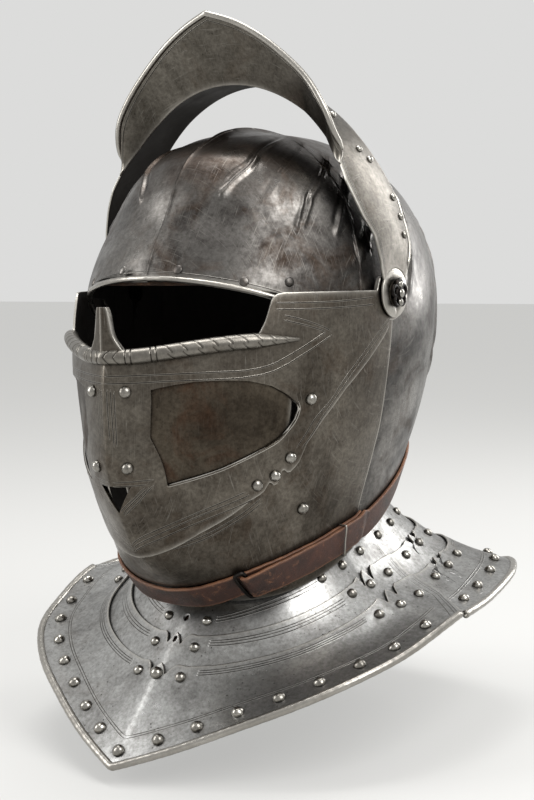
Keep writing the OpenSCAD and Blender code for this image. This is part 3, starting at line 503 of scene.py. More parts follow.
def applyAll(piece):
    deselectAll()
    bpy.context.view_layer.objects.active = piece
    piece.select_set(True)
    for m in list(piece.modifiers):
        bpy.ops.object.modifier_apply(modifier=m.name)


def cut(piece, *cutters):
    for c in cutters:
        modifier(piece, "BOOLEAN", operation="DIFFERENCE", solver="EXACT", object=c)
    applyAll(piece)


def remove(*objects):
    for o in objects:
        bpy.data.objects.remove(o, do_unlink=True)


def join(name, pieces):
    deselectAll()
    for p in pieces:
        p.select_set(True)
    bpy.context.view_layer.objects.active = pieces[0]
    if len(pieces) > 1:
        bpy.ops.object.join()
    pieces[0].name = name
    pieces[0].data.name = name
    return pieces[0]


# a cutter: an outline (two sizes) pushed through along axis x or y
def prism(name, outline, axis, low, high):
    deselectAll()
    bpy.ops.mesh.primitive_circle_add(vertices=len(outline), radius=1, fill_type="NGON")
    piece = bpy.context.object
    piece.name = name
    for v, (a, b) in zip(piece.data.vertices, outline):
        v.co = Vector((low, a, b)) * mm if axis == "x" else Vector((a, low, b)) * mm
    bpy.ops.object.mode_set(mode="EDIT")
    bpy.ops.mesh.select_all(action="SELECT")
    move = Vector((high - low, 0, 0)) if axis == "x" else Vector((0, high - low, 0))
    bpy.ops.mesh.extrude_region_move(TRANSFORM_OT_translate={"value": move * mm})
    bpy.ops.mesh.select_all(action="SELECT")
    bpy.ops.mesh.normals_make_consistent(inside=False)
    bpy.ops.object.mode_set(mode="OBJECT")
    return piece


def finishPiece(piece, body, slot, material, *nodes):
    piece.data.materials.clear()
    piece.data.materials.append(material)
    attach(piece, body)
    if nodes:
        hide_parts(*nodes)
    return piece


# materials


def linear(code, alpha=1.0):
    rgb = [int(code[i:i + 2], 16) / 255 for i in (1, 3, 5)]
    return [c / 12.92 if c <= 0.04045 else ((c + 0.055) / 1.055) ** 2.4 for c in rgb] + [alpha]


def add(tree, kind, links=(), **settings):
    node = tree.nodes.new(kind)
    for key, value in settings.items():
        if hasattr(node, key):
            setattr(node, key, value)
        else:
            node.inputs[key.replace("_", " ")].default_value = value
    for socket, source in dict(links).items():
        tree.links.new(source, node.inputs[socket])
    return node


def ramp(tree, source, low, high, a=0.0, b=1.0):
    node = add(tree, "ShaderNodeMapRange", {"Value": source}, clamp=True)
    for key, value in {"From Min": low, "From Max": high, "To Min": a, "To Max": b}.items():
        node.inputs[key].default_value = value
    return node.outputs[0]


# a socket is linked, anything else becomes the input's value
def feed(tree, node, values):
    for index, value in values.items():
        if isinstance(value, bpy.types.NodeSocket):
            tree.links.new(value, node.inputs[index])
        else:
            node.inputs[index].default_value = value


def mixColour(tree, amount, a, b, how="MIX"):
    node = add(tree, "ShaderNodeMix", data_type="RGBA", blend_type=how)
    feed(tree, node, {0: amount, 6: a, 7: b})
    return node.outputs[2]


def maths(tree, how, a, b=0.0):
    node = add(tree, "ShaderNodeMath", operation=how)
    feed(tree, node, {0: a, 1: b})
    return node.outputs[0]


def times(tree, a, b):
    return maths(tree, "MULTIPLY", a, b)


def plus(tree, a, b):
    return maths(tree, "ADD", a, b)


def marked(tree, name):
    return add(tree, "ShaderNodeAttribute", attribute_name=name).outputs["Fac"]


def noise(tree, where, scale, detail=4.0, rough=0.55, warp=0.0):
    node = add(tree, "ShaderNodeTexNoise", {"Vector": where})
    for key, value in {"Scale": scale, "Detail": detail, "Roughness": rough, "Distortion": warp}.items():
        node.inputs[key].default_value = value
    return node.outputs["Fac"]


def newMaterial(name):
    material = bpy.data.materials.new(name)
    material.use_nodes = True
    tree = material.node_tree
    tree.nodes.clear()
    return material, tree


# forged mild steel, hammered, ground bright, then tarnished and patched with brown rust in places;
# the piece's own marks say where edges are rubbed bright, where a highlight is painted on the lips of cut
# lines, where cut lines get painted shade, and where the inner side gets painted shade
def steel(
    name, light, dark, brown, tarnish=0.9, patches=0.4, rough=(0.27, 0.45), hammer=0.4, pits=0.6,
    scratched=0.25, crownDarkening=0.0, bright="#c4c0b8", seed=0.0
):
    material, tree = newMaterial(name)
    coords = add(tree, "ShaderNodeTexCoord").outputs["Object"]
    moved = add(tree, "ShaderNodeMapping", {"Vector": coords}, Location=(seed, seed * 0.7, -seed * 0.4))
    where = moved.outputs[0]
    broad = noise(tree, where, 20, 5, 0.6, 0.5)
    middle = noise(tree, where, 75, 6, 0.62, 0.3)
    fine = noise(tree, where, 420, 6, 0.7)
    specks = noise(tree, where, 1500, 3, 0.6)
    shade = plus(
        tree, times(tree, ramp(tree, broad, 0.38, 0.6), 0.65),
        times(tree, ramp(tree, middle, 0.36, 0.66), 0.35)
    )
    colour = mixColour(tree, times(tree, shade, tarnish), linear(light), linear(dark))
    rust = noise(tree, where, 31, 7, 0.68, 0.8)
    rustMask = times(tree, ramp(tree, rust, 0.5, 0.64), patches)
    if crownDarkening:
        # darker and browner towards the crown
        height = add(tree, "ShaderNodeSeparateXYZ", {"Vector": coords}).outputs["Z"]
        crownMask = times(tree, ramp(tree, plus(tree, height, times(tree, middle, 0.05)), 0.078, 0.112), crownDarkening)
        colour = mixColour(tree, crownMask, colour, linear("#3a2f27"))
    colour = mixColour(tree, rustMask, colour, linear(brown))
    mottle = mixColour(tree, ramp(tree, fine, 0.35, 0.7), linear("#ffffff"), linear("#6f6b66"))
    colour = mixColour(tree, 0.6, colour, mottle, "MULTIPLY")
    spots = add(tree, "ShaderNodeTexVoronoi", {"Vector": where}, Scale=300)
    pitMask = times(tree, ramp(tree, spots.outputs["Distance"], 0.22, 0.08), ramp(tree, middle, 0.5, 0.6))
    pitMask = times(tree, pitMask, pits)
    colour = mixColour(tree, pitMask, colour, linear("#1d1916"))
    # polishing scratches, two directions
    marks = []
    for turned, long in (((0.3, 0.5, 0.2), (2600, 60, 60)), ((-0.6, 0.2, 0.9), (60, 2300, 80))):
        m = add(tree, "ShaderNodeMapping", {"Vector": coords}, Rotation=turned, Scale=long)
        marks.append(ramp(tree, noise(tree, m.outputs[0], 1.0, 2, 0.5), 0.62, 0.72))
    scratch = times(
        tree, maths(tree, "MAXIMUM", marks[0], marks[1]), ramp(tree, middle, 0.4, 0.6, 0.1, 0.6)
    )
    colour = mixColour(tree, times(tree, scratch, scratched), colour, linear(bright))
    # wear and painted highlight: rubbed edges are lightened, and so are the lips of cut lines and the filed
    # sills as painted highlight
    wear = marked(tree, "wear")
    worn = times(tree, ramp(tree, wear, 0.05, 0.95), ramp(tree, middle, 0.3, 0.6, 0.55, 1.0))
    colour = mixColour(tree, times(tree, worn, 0.85), colour, linear(bright))
    # painted shade: darkened in creases, seams and round the feet of rivets, found by ambient occlusion
    hollow = add(tree, "ShaderNodeAmbientOcclusion", samples=6, only_local=False, Distance=0.006)
    aoShade = times(tree, ramp(tree, hollow.outputs["AO"], 0.8, 0.35), ramp(tree, fine, 0.2, 0.6, 0.6, 1.0))
    colour = mixColour(tree, times(tree, aoShade, 0.9), colour, linear("#15110e"))
    # painted shade: near black in cut lines, in the roll's cuts and behind the filed sills
    groove = marked(tree, "groove")
    colour = mixColour(
        tree, times(tree, groove, ramp(tree, middle, 0.35, 0.6, 1.0, 0.7)), colour, linear("#0f0c0a")
    )
    # painted shade: the inner side is turned near black, less metallic and rougher
    inside = marked(tree, "inside")
    colour = mixColour(tree, times(tree, inside, 0.95), colour, linear("#1a1511"))
    tone = plus(tree, times(tree, shade, 0.7), times(tree, fine, 0.3))
    roughness = plus(tree, ramp(tree, tone, 0.2, 0.8, rough[0], rough[1]), times(tree, rustMask, 0.25))
    roughness = maths(tree, "SUBTRACT", roughness, times(tree, worn, 0.06))
    roughness = plus(tree, roughness, times(tree, inside, 0.3))
    beaten = noise(tree, where, 55, 2, 0.5)
    lift = plus(tree, times(tree, beaten, 0.45 * hammer), times(tree, fine, 0.035))
    lift = plus(tree, lift, times(tree, specks, 0.01))
    lift = maths(tree, "SUBTRACT", lift, times(tree, pitMask, 0.06))
    lift = maths(tree, "SUBTRACT", lift, times(tree, scratch, 0.012))
    bump = add(tree, "ShaderNodeBump", {"Height": lift}, Strength=1.0, Distance=0.001)
    shader = add(
        tree, "ShaderNodeBsdfPrincipled",
        {"Base Color": colour, "Roughness": roughness, "Normal": bump.outputs[0]}
    )
    tree.links.new(ramp(tree, inside, 0, 1, 1.0, 0.45), shader.inputs["Metallic"])
    add(tree, "ShaderNodeOutputMaterial", {"Surface": shader.outputs[0]})
    return material


# vegetable-tanned cowhide strap, old and rubbed on its edges
def leather(name, face="#402216", deep="#21110b", worn="#7c5338"):
    material, tree = newMaterial(name)
    where = add(tree, "ShaderNodeTexCoord").outputs["Object"]
    broad = noise(tree, where, 60, 6, 0.65, 0.5)
    grainy = noise(tree, where, 900, 5, 0.65)
    cells = add(tree, "ShaderNodeTexVoronoi", {"Vector": where}, feature="DISTANCE_TO_EDGE", Scale=900)
    colour = mixColour(tree, ramp(tree, broad, 0.35, 0.65), linear(face), linear(deep))
    wear = marked(tree, "wear")
    rubbedAndHighlit = times(tree, ramp(tree, wear, 0.3, 1.0), ramp(tree, broad, 0.35, 0.6, 0.35, 1.0))
    patches = times(tree, ramp(tree, noise(tree, where, 140, 8, 0.75, 1.0), 0.56, 0.66), 0.7)
    colour = mixColour(tree, maths(tree, "MAXIMUM", rubbedAndHighlit, patches), colour, linear(worn))
    colour = mixColour(
        tree, ramp(tree, cells.outputs["Distance"], 0.12, 0.0, 0.0, 0.45), colour, linear(deep)
    )
    lift = plus(
        tree, times(tree, ramp(tree, cells.outputs["Distance"], 0.0, 0.25), 0.07), times(tree, grainy, 0.08)
    )
    lift = plus(tree, lift, times(tree, noise(tree, where, 200, 3, 0.6), 0.25))
    bump = add(tree, "ShaderNodeBump", {"Height": lift}, Strength=0.8, Distance=0.001)
    roughness = ramp(tree, grainy, 0.3, 0.7, 0.42, 0.62)
    shader = add(
        tree, "ShaderNodeBsdfPrincipled",
        {"Base Color": colour, "Roughness": roughness, "Normal": bump.outputs[0]}, IOR=1.5
    )
    add(tree, "ShaderNodeOutputMaterial", {"Surface": shader.outputs[0]})
    return material


skullSteel = steel(
    "skull_steel", "#84817d", "#312e2c", "#43352a", tarnish=1.0, patches=0.5, rough=(0.25, 0.44), crownDarkening=0.8,
    seed=0.0
)
faceSteel = steel("face_steel", "#777168", "#423c35", "#453628", patches=0.4, rough=(0.28, 0.46), seed=3.1)
windowSteel = steel(
    "window_steel", "#5e564b", "#2c2620", "#49362a", patches=0.7, rough=(0.34, 0.5), pits=0.5,
    scratched=0.06, seed=6.3
)
peakSteel = steel(
    "peak_steel", "#7b766e", "#48443d", "#483c2f", tarnish=0.8, patches=0.3, rough=(0.28, 0.42), seed=9.2
)
# painted light: the lames' colours are raised to stand in for the light they catch from above
guardSteel = steel(
    "guard_steel", "#c4c4c2", "#747371", "#5c5147", patches=0.25, rough=(0.26, 0.42), pits=0.95, seed=12.4
)
edgeSteel = steel(
    "edge_steel", "#a9a6a0", "#66625c", "#5a4c3f", patches=0.2, rough=(0.26, 0.4), hammer=0.3, seed=15.0
)
rollSteel = steel(
    "roll_steel", "#8f8b83", "#4d4842", "#4a3a2c", tarnish=0.85, patches=0.3, rough=(0.26, 0.42),
    hammer=0.2, pits=0.4, seed=15.0
)
rivetSteel = steel(
    "rivet_steel", "#b5b2ab", "#6c6861", "#5a4c3f", tarnish=0.7, patches=0.15, rough=(0.2, 0.32),
    hammer=0.15, seed=18.0
)
ironDark = steel(
    "dark_iron", "#322f2d", "#1a1817", "#2c2119", tarnish=0.8, patches=0.4, rough=(0.35, 0.5), hammer=0.3,
    bright="#5f5b56", seed=21.0
)
strapLeather = leather("strap_leather")
liningLeather = leather("lining_leather", face="#4a3425", deep="#271a11", worn="#6f5138")
print("materials made")

# skull

skullEdge = [
    (-136, 9), (-98, 9.5), (-84, 4.5), (-62, -1), (-38, -3), (-26, -14), (-22, -60), (-10, -110),
    (-6, -140), (-5.9, -150.4), (30, -148), (66, -138), (94, -129), (180, -120)
]


# level at which each column first passes under an edge drawn in the side view
def firstUnder(at, cols, uLow, uHigh, edge, n=1601):
    us = np.linspace(uLow, uHigh, n)
    p = at(us[:, None], np.asarray(cols)[None, :])
    gap = p[..., 2] - edge(p[..., 1])
    under = gap <= 0
    hit = np.argmax(under, axis=0)
    none = ~under.any(axis=0)
    lower = np.clip(hit - 1, 0, n - 1)
    j = np.arange(len(cols))
    ga, gb = gap[lower, j], gap[hit, j]
    t = np.where(hit > 0, ga / np.maximum(ga - gb, 1e-9), 0)
    level = us[lower] + (us[hit] - us[lower]) * np.clip(t, 0, 1)
    return np.where(none, uHigh, np.where(hit == 0, uLow, level))


def polyline(points):
    ys = np.array([p[0] for p in points], float)
    zs = np.array([p[1] for p in points], float)
    return lambda y: np.interp(y, ys, zs)


turns = np.concatenate(
    [
        np.arange(0, 3, 0.4), np.arange(3, 14, 1.1), np.arange(14, 106, 0.6), np.arange(106, 176, 1.6),
        np.arange(176, 180, 0.7), [180]
    ]
)
turns = np.concatenate([turns, 360 - turns[-2:0:-1]])
skullLow = firstUnder(skullAt, turns, 0, 11.7, polyline(skullEdge))
skull = plate(
    "skull_plate", skullSurf, skullBaseOut, turns, np.full(len(turns), -1.0), skullLow, helmet["plate"], 0,
    inner=12, wrap=True, shares=np.interp(np.linspace(0, 1, 186), [0, 0.08, 0.74, 1], [0, 0.05, 0.5, 1])
)
print("skull", len(skull.data.polygons))

deselectAll()
bpy.ops.mesh.primitive_cylinder_add(
    vertices=64, radius=helmet["pinBore"] * mm, depth=0.3, rotation=(0, math.pi / 2, 0)
)
bore = bpy.context.object
bore.name = "bore"
cut(skull, bore)
finishPiece(skull, "skull_body", "skull_steel", skullSteel, "skull")


def browLevel(a):
    return 5.545 + 0.425 * (np.abs(a) / 42) ** 2.2


a = np.linspace(-60, 60, 241)
line = skullSurf(browLevel(a), a) - skullBaseOut(browLevel(a), a) * 0.5
bead = tube("brow_bead", line, helmet["bead"] * (1 + 0.03 * np.sin(a * 1.7) * np.sin(a * 0.37)), 16)
finishPiece(bead, "skull_body", "edge_steel", edgeSteel, "brow_bead")
a = np.linspace(-56, 56, 40)
crest = [[(1.7, 0.75), (1.2, 0.9), (0.7, 1.2), (0.25, 1.6)]]
skullLines = strips("skull_lines", skullSurf, skullBaseOut, crest, pace=1.2)
browLine = strips("brow_line", skullSurf, skullBaseOut, [list(zip(browLevel(a) - 0.17, a))], sides=(1,))
finishPiece(join("skull_lines", [skullLines, browLine]), "skull_body", "skull_steel", skullSteel)
print("brow")

# visor and bevor

armR = 16
visorTop = [
    (-180, -29.5), (-136, -29.5), (-110, -25.5), (-93.5, -21.8), (-91.2, -18.5), (-88.4, -12.6),
    (-85.6, -5), (-84.4, -1.6), (-83, 0.7), (-81, 2.2), (-78, 2.8), (-66, 2.8), (-14, 2.2)
]
visorLow = [
    (-180, -206), (-118, -147), (-106, -133.5), (-95, -124), (-87, -115.5), (-83.2, -112.6),
    (-81.2, -110.6), (-80.2, -107.6), (-79.5, -105.6), (-78.2, -106), (-76.6, -107.4), (-75, -107),
    (-74.2, -104.5), (-74.4, -101.4), (-73.6, -98.8), (-72.2, -99), (-70.4, -100.4), (-68.6, -100.2),
    (-66.2, -97.6), (-64.4, -94.6), (-61.9, -84.2), (-53.6, -71.3), (-39.3, -54.1), (-22.1, -38.6),
    (-8.1, -25.2), (-3.5, -20), (-2, 0)
]


def disc(y, r):
    return np.sqrt(np.maximum(r * r - y * y, 0))


def visorTopAt(y):
    return np.where(
        y < -2, np.maximum(polyline(visorTop)(y), np.where(np.abs(y) < armR, disc(y, armR), -999)),
        disc(y, armR)
    )


def visorLowAt(y):
    lowLine = np.where(y < -2, polyline(visorLow)(y), 0)
    return np.minimum(lowLine, np.where(np.abs(y) < armR, -disc(y, armR), 999))


# share round the face at which a level z has the forward place y
def sideShare(y, z):
    levels = np.array([k[0] for k in faceLevels], float)
    reach = np.interp(-z, -levels, [k[2] for k in faceLevels])
    return math.degrees(math.acos(min(1, (abs(y) / (helmet["faceFront"] * reach)) ** 1.1))) / 90


corners = []
for y, z in visorTop[3:11] + visorLow[4:22]:
    s = sideShare(y, z)
    corners += [s - 0.0025, s, s + 0.0025]
half = equalPace(lambda s: faceAt(4.0, s), 0, 1, 0.82, corners)
tail = 1 + armR / 100 * np.sin(np.linspace(0, math.pi / 2, 26)[1:])
half = np.concatenate([half, tail])
faceCols = np.concatenate([-half[:0:-1], half])
top = firstUnder(faceAt, faceCols, 0, 7.5, visorTopAt)
low = firstUnder(faceAt, faceCols, 0, 7.5, visorLowAt)
low = np.maximum(low, top + 0.0005)
visor = plate("visor_plate", faceAt, faceOut, faceCols, top, low, helmet["plate"], 128, inner=16)
print("visor", len(visor.data.polygons))

windowShape = [
    (-133.7, -49.4), (-126, -46.9), (-117.8, -45.3), (-107, -45.2), (-97, -46), (-85.8, -49.4),
    (-77.5, -54.6), (-70.5, -60.5), (-69.3, -63.5), (-70.9, -69.2), (-74.3, -75), (-79.2, -80.2),
    (-85.3, -84.4), (-94.6, -89.9), (-104.5, -95.2), (-115, -99.8), (-125.2, -103.8), (-133.3, -76.2)
]
windows = [
    prism("window_left", windowShape, "x", 5, 130), prism("window_right", windowShape, "x", -130, -5)
]
notch = prism("notch", [(-10.5, -104), (10.5, -104), (0, -120)], "y", -200, -80)
cut(visor, windows[0], windows[1], notch, bore)
remove(*windows, notch)
finishPiece(visor, "visor_body", "face_steel", faceSteel, "visor")
print("visor cut")

bevorIn = helmet["plate"] + helmet["gap"]
bevorTop = [
    (-200, -200), (-132, -140), (-125, -136), (-110, -122.5), (-80, -90), (-62, -68), (-40, -38),
    (-18, -12), (0, -6), (40, -6)
]
bevorFoot = [(-200, -200), (-76, -188), (-70, -183.5), (-60, -179), (-34, -171), (-8, -162), (5.5, -156)]


def bevorAt(u, s):
    return faceAt(u, s) - bevorIn * faceOut(u, s)


bevorHalf = np.concatenate(
    [
        equalPace(lambda s: faceAt(8.0, s), 0, 1, 1.0),
        1 + np.array([0.8, 1.6, 2.4, 3.2, 3.55, 3.75, 3.9, 4.0]) / 100
    ]
)
bevorCols = np.concatenate([-bevorHalf[:0:-1], bevorHalf])
top = firstUnder(
    bevorAt, bevorCols, 0, 11,
    lambda y: np.maximum(polyline(bevorTop)(y), np.where(np.abs(y) < 15, disc(y, 15), -999))
)
low = firstUnder(bevorAt, bevorCols, 0, 11, polyline(bevorFoot))
bevor = plate(
    "bevor_plate", bevorAt, faceOut, bevorCols, top, low, helmet["plate"], 110, inner=14, ends=True
)
cut(bevor, bore)
finishPiece(bevor, "bevor_body", "face_steel", faceSteel, "bevor")
print("bevor", len(bevor.data.polygons))

# engraved borders: level and share round the face
faceLines = [
    [
        (1.9, 0), (1.88, 0.2), (1.86, 0.34), (1.84, 0.477), (1.83, 0.547), (1.74, 0.615), (1.5, 0.682),
        (1.15, 0.762)
    ],
    [
        (2.03, 0), (2.02, 0.2), (1.99, 0.34), (1.98, 0.479), (1.96, 0.55), (1.86, 0.625), (1.58, 0.7),
        (1.22, 0.782)
    ],
    [(0.88, 0.633), (0.98, 0.689), (1.08, 0.735), (1.15, 0.762)],
    [(0.79, 0.633), (0.9, 0.695), (1.04, 0.748), (1.15, 0.78)],
    [(0.56, 0.607), (0.57, 0.669), (0.57, 0.786), (0.52, 0.924)],
    [(0.68, 0.607), (0.69, 0.67), (0.69, 0.787), (0.66, 0.924)],
    [(0.95, 0.985), (1.34, 0.933), (2.03, 0.847), (2.46, 0.803), (2.87, 0.752), (3.59, 0.712)],
    [(1.05, 0.985), (1.35, 0.949), (1.98, 0.869), (2.51, 0.81), (2.88, 0.773), (3.61, 0.729)],
    [(2.12, 0.055), (2.46, 0.058), (3.1, 0.066)],
    [(2.12, 0.088), (2.46, 0.091), (3.3, 0.1)],
    [(2.15, 0.11), (2.46, 0.113), (3.3, 0.118)],
    [(4.34, 0.036), (4.31, 0.171), (4.26, 0.278)],
    [(4.43, 0.033), (4.41, 0.166), (4.38, 0.245)],
    [(4.45, 0.232), (4.77, 0.153), (5.13, 0.035)],
    [(4.45, 0.249), (4.77, 0.171), (5.19, 0.057)],
    [(4.39, 0.27), (4.81, 0.185), (5.27, 0.064)],
    [(6.5, 0.0), (5.73, 0.25), (5.08, 0.436), (4.66, 0.571)],
    [(6.66, 0.0), (5.93, 0.241), (5.22, 0.433), (4.74, 0.585)],
    [(6.82, 0.0), (6.16, 0.23), (5.45, 0.428), (4.86, 0.598)],
]
visorBorder = strips("visor_border_lines", faceAt, faceOut, faceLines)
finishPiece(visorBorder, "visor_body", "face_steel", faceSteel)
bevorLines = [
    [(6.77, 0.05), (6.54, 0.272), (6.15, 0.411), (5.53, 0.534), (4.92, 0.62)],
    [(6.92, 0.05), (6.7, 0.266), (6.31, 0.407), (5.69, 0.532), (5.05, 0.625)],
    [(1.75, 1.016), (4.0, 1.016), (6.3, 1.016)],
    [(1.95, 0.999), (4.0, 0.999), (6.3, 0.999)],
]
bevorBorder = strips("bevor_border_lines", bevorAt, faceOut, bevorLines)
finishPiece(bevorBorder, "bevor_body", "face_steel", faceSteel)


def sideSpot(y, z):
    levels = np.array([k[0] for k in faceLevels], float)
    return float(np.interp(-z, -levels, np.arange(len(levels)))), sideShare(y, z)


# the windows' lower edges are filed to a bevel; the bevel gets a painted highlight and its back painted
# shade
sill = [
    (-70.6, -58.6), (-69.6, -63.4), (-71.3, -69.4), (-74.7, -75.2), (-79.6, -80.6), (-85.6, -84.8),
    (-94.8, -90.3), (-104.6, -95.6), (-115.1, -100.2), (-125, -104.1)
]
sills = strips("window_sills", faceAt, faceOut, [[sideSpot(y, z) for y, z in sill]], filedEdge, 0.9)
finishPiece(sills, "visor_body", "face_steel", edgeSteel)
print("face lines")

# roped roll under the sight
s = np.linspace(-0.684, 0.684, 901)
line = faceAt(1.53 - 0.26 * smooth((np.abs(s) - 0.15) / 0.45), s)
run = runOf(line)
run -= run[450]
taper = np.minimum(1, 0.22 + np.minimum(run - run[0], run[-1] - run) / 34)
ring = tubePoints(line, helmet["roll"] * taper, 36)
side = unit(np.cross(unit(np.gradient(line, axis=0)), [0, 0, 1.0]))
ring = ring + (0.44 * taper)[None, :, None] * side[None]
turn = np.linspace(0, 2 * math.pi, 36, endpoint=False)[:, None]
# diagonal cuts, mirrored about the ridge, and cross cuts near it
lean = np.abs(run)[None, :] + 3.1 * (turn - math.pi / 2)
phase = np.abs((lean / 8.3 + 0.5) % 1 - 0.5) * 8.3
deep = np.exp(-((phase / 0.3) ** 2)) * (np.abs(run)[None, :] > 31)
for place in (12.5, 15.5, 26.5, 29.5):
    deep = np.maximum(deep, np.exp(-(((np.abs(run)[None, :] - place) / 0.3) ** 2)))
chevron = np.abs((np.abs(run)[None, :] + 2.2 * np.abs(turn - math.pi)) % 5.2 - 2.6)
deep = np.maximum(deep, np.exp(-((chevron / 0.3) ** 2)) * (np.abs(run)[None, :] < 11))
centre = line[None] + (0.44 * taper)[None, :, None] * side[None]
ring = centre + (ring - centre) * (1 - 0.09 * deep)[..., None]
# the cuts get painted shade, and the roll is lightened a little between them
roll = gridPiece("sight_roll", ring, closeRows=True, capEnds=True, wear=0.2 * (1 - deep), groove=deep)
finishPiece(roll, "visor_body", "face_steel", rollSteel)

# nasal: a folded plate that stands on the ridge
outline = [
    (12, -32), (11.6, -28), (9.2, -24.3), (7.2, -20.8), (6, -17.3), (5.2, -12.8), (4.6, -8.8), (3.9, -5.4),
    (3.2, -3.5)
]
high = spread(outline, 49)
across = np.linspace(-1, 1, 41)
x = high[:, None, 0] * across[None, :]
y = -helmet["faceFront"] - 1.8 + 0.44 * np.sqrt(x * x + 0.25)
front = np.stack([x, y, np.broadcast_to(high[:, None, 1], x.shape)], -1)
back = front + np.array([0, 3.0, 0])
ringRows = np.concatenate([front, back[::-1]])
nasal = gridPiece(
    "nasal", ringRows, closeRows=True, capEnds=True,
    wear=np.concatenate(
        [np.exp(-(1 - np.abs(across))[None, :] * high[:, None, 0] / 0.6) + 0.4 * np.exp(-np.abs(x) / 0.7)]
        * 2
    )
)
modifier(nasal, "BEVEL", width=0.4 * mm, segments=3, limit_method="ANGLE", angle_limit=math.radians(40))
applyAll(nasal)
finishPiece(nasal, "visor_body", "face_steel", faceSteel)
print("roll and nasal")

# plates behind the windows


def paneAt(u, s):
    return faceAt(u, s) - (helmet["plate"] + 0.3) * faceOut(u, s)


paneTop = polyline([(-142, -43), (-118, -39), (-96, -40), (-82, -43), (-64, -57), (-63, -64)])
paneLow = polyline([(-139, -113), (-124, -110.5), (-103, -101.5), (-83, -90), (-71.5, -76), (-63, -64.5)])
for name, side in (("left", 1), ("right", -1)):
    cols = equalPace(lambda s: faceAt(3.2, s), 0.13, 0.69, 1.2) * side
    top = firstUnder(paneAt, cols, 1.3, 5.3, paneTop)
    low = np.maximum(firstUnder(paneAt, cols, 1.3, 5.3, paneLow), top + 0.001)
    pane = plate(
        "window_pane_" + name, paneAt, faceOut, cols, top, low, helmet["pane"], 40, inner=10, ends=True
    )
    finishPiece(pane, "visor_body", "window_steel", windowSteel, "window_pane_" + name)
print("panes")

# peak

bandEdges = np.array(
    [
        [0.1, 30, 150], [0.19, 50, 133], [0.3, 60.5, 121], [0.39, 62, 115], [0.46, 64, 111.5],
        [0.55, 67, 105], [0.63, 72, 101], [0.73, 78, 98], [0.85, 81, 96.5], [1, 81, 95.5]
    ],
    float
)


def bandEdge(t, column):
    return np.interp(np.sin(np.radians(t)), bandEdges[:, 0], bandEdges[:, column])


discX = helmet["faceWide"] + helmet["gap"]


# band surface whose ends flatten on to the side discs
def armAt(turn, t):
    p = bandAt(turn, t)
    near = smooth((24 - np.degrees(np.arcsin(np.clip(np.sin(np.radians(t)), 0, 1)))) / 16)
    x = np.sign(p[..., 0]) * (np.abs(p[..., 0]) * (1 - near) + discX * near)
    return np.stack([x, p[..., 1], p[..., 2]], -1)


armOutRaw = outOf(armAt, 0.4, 0.2)


def armOut(turn, t):
    n = armOutRaw(turn, t)
    return n * np.sign(np.sum(n * bandOut(turn, t), axis=-1, keepdims=True))


def bandSurf(turn, t):
    return armAt(turn, t) + helmet["plate"] * armOut(turn, t)


bandHalf = equalPace(lambda t: bandAt(90.0, t), 6.0, 90, 1.1)
bandCols = np.concatenate([bandHalf, 180 - bandHalf[-2::-1]])
band = plate(
    "peak_band", bandSurf, armOut, bandCols, bandEdge(bandCols, 1), bandEdge(bandCols, 2), helmet["plate"],
    44, inner=12, ends=True
)
parts = [band]
for side in (1, -1):
    deselectAll()
    bpy.ops.mesh.primitive_cylinder_add(
        vertices=96, radius=helmet["disc"] * mm, depth=helmet["plate"] * mm,
        location=(side * (discX + helmet["plate"] / 2) * mm, 0, 0), rotation=(0, math.pi / 2, 0)
    )
    arm = bpy.context.object
    bpy.ops.object.transform_apply(location=True, rotation=True, scale=True)
    modifier(arm, "BEVEL", width=0.45 * mm, segments=3, limit_method="ANGLE", angle_limit=math.radians(40))
    applyAll(arm)
    layer = arm.data.attributes.new("wear", "FLOAT", "POINT")
    co = np.array([v.co[:] for v in arm.data.vertices])
    layer.data.foreach_set(
        "value", np.clip((np.hypot(co[:, 1], co[:, 2]) * 1000 - 13.4) / 0.8, 0, 1).astype(np.float32)
    )
    bpy.ops.object.shade_smooth()
    cut(arm, bore)
    parts.append(arm)
band = join("peak_band_plate", parts)
finishPiece(band, "peak_body", "peak_steel", peakSteel, "peak_band")
print("band")


def inFromEdge(column, far, t0, t1, n=24):
    t = np.linspace(t0, t1, n)
    reach = helmet["bandReach"] * np.sin(np.radians(t))
    return list(zip(bandEdge(t, column) + np.degrees(far / reach), t))


armLines = [inFromEdge(1, d, 9, 42) for d in (2.4, 3.7)] + [inFromEdge(2, d, 9.5, 36) for d in (-2.0, -3.2)]
border = strips("arm_lines", bandSurf, armOut, armLines, pace=1.2)
finishPiece(border, "peak_body", "peak_steel", peakSteel)
lip = []
for side in (1, -1):
    turn, t = np.array(inFromEdge(2, -0.5, 9, 29, 60)).T
    lip.append(
        tube(
            "lip", (bandSurf(turn, t) - 0.2 * armOut(turn, t)) * [side, 1, 1],
            0.95 * np.minimum(1, 0.3 + np.minimum(np.arange(60), np.arange(60)[::-1]) / 8), 10, wear=0.8
        )
    )
finishPiece(join("arm_lips", lip), "peak_body", "peak_steel", edgeSteel)

brimEdge = [
    [0.78, -0.122, 0.475], [0.772, -0.17, 0.56], [0.727, -0.188, 0.64], [0.602, -0.19, 0.745],
    [0.387, -0.205, 0.858], [0.188, -0.22, 0.93], [0, -0.243, 0.97]
]
brimRoots = [38, 44, 50.5, 58, 68, 79, 90]


def brimAt(row, v):
    row, v = np.broadcast_arrays(np.asarray(row, float), np.asarray(v, float))
    k = (1 - np.abs(v)) * 6
    e = through(brimEdge, k)
    outer = np.stack(
        [
            np.sign(-v) * e[..., 0] * helmet["bandWide"], e[..., 1] * helmet["brimReach"],
            e[..., 2] * helmet["brimReach"]
        ],
        -1
    )
    t = through([[r] for r in brimRoots], k)[..., 0]
    root = bandAt(bandEdge(t, 1) - 0.12, np.where(v > 0, 180 - t, t))
    return outer + (root - outer) * row[..., None]


brimOutRaw = outOf(brimAt, 0.02, 0.004)


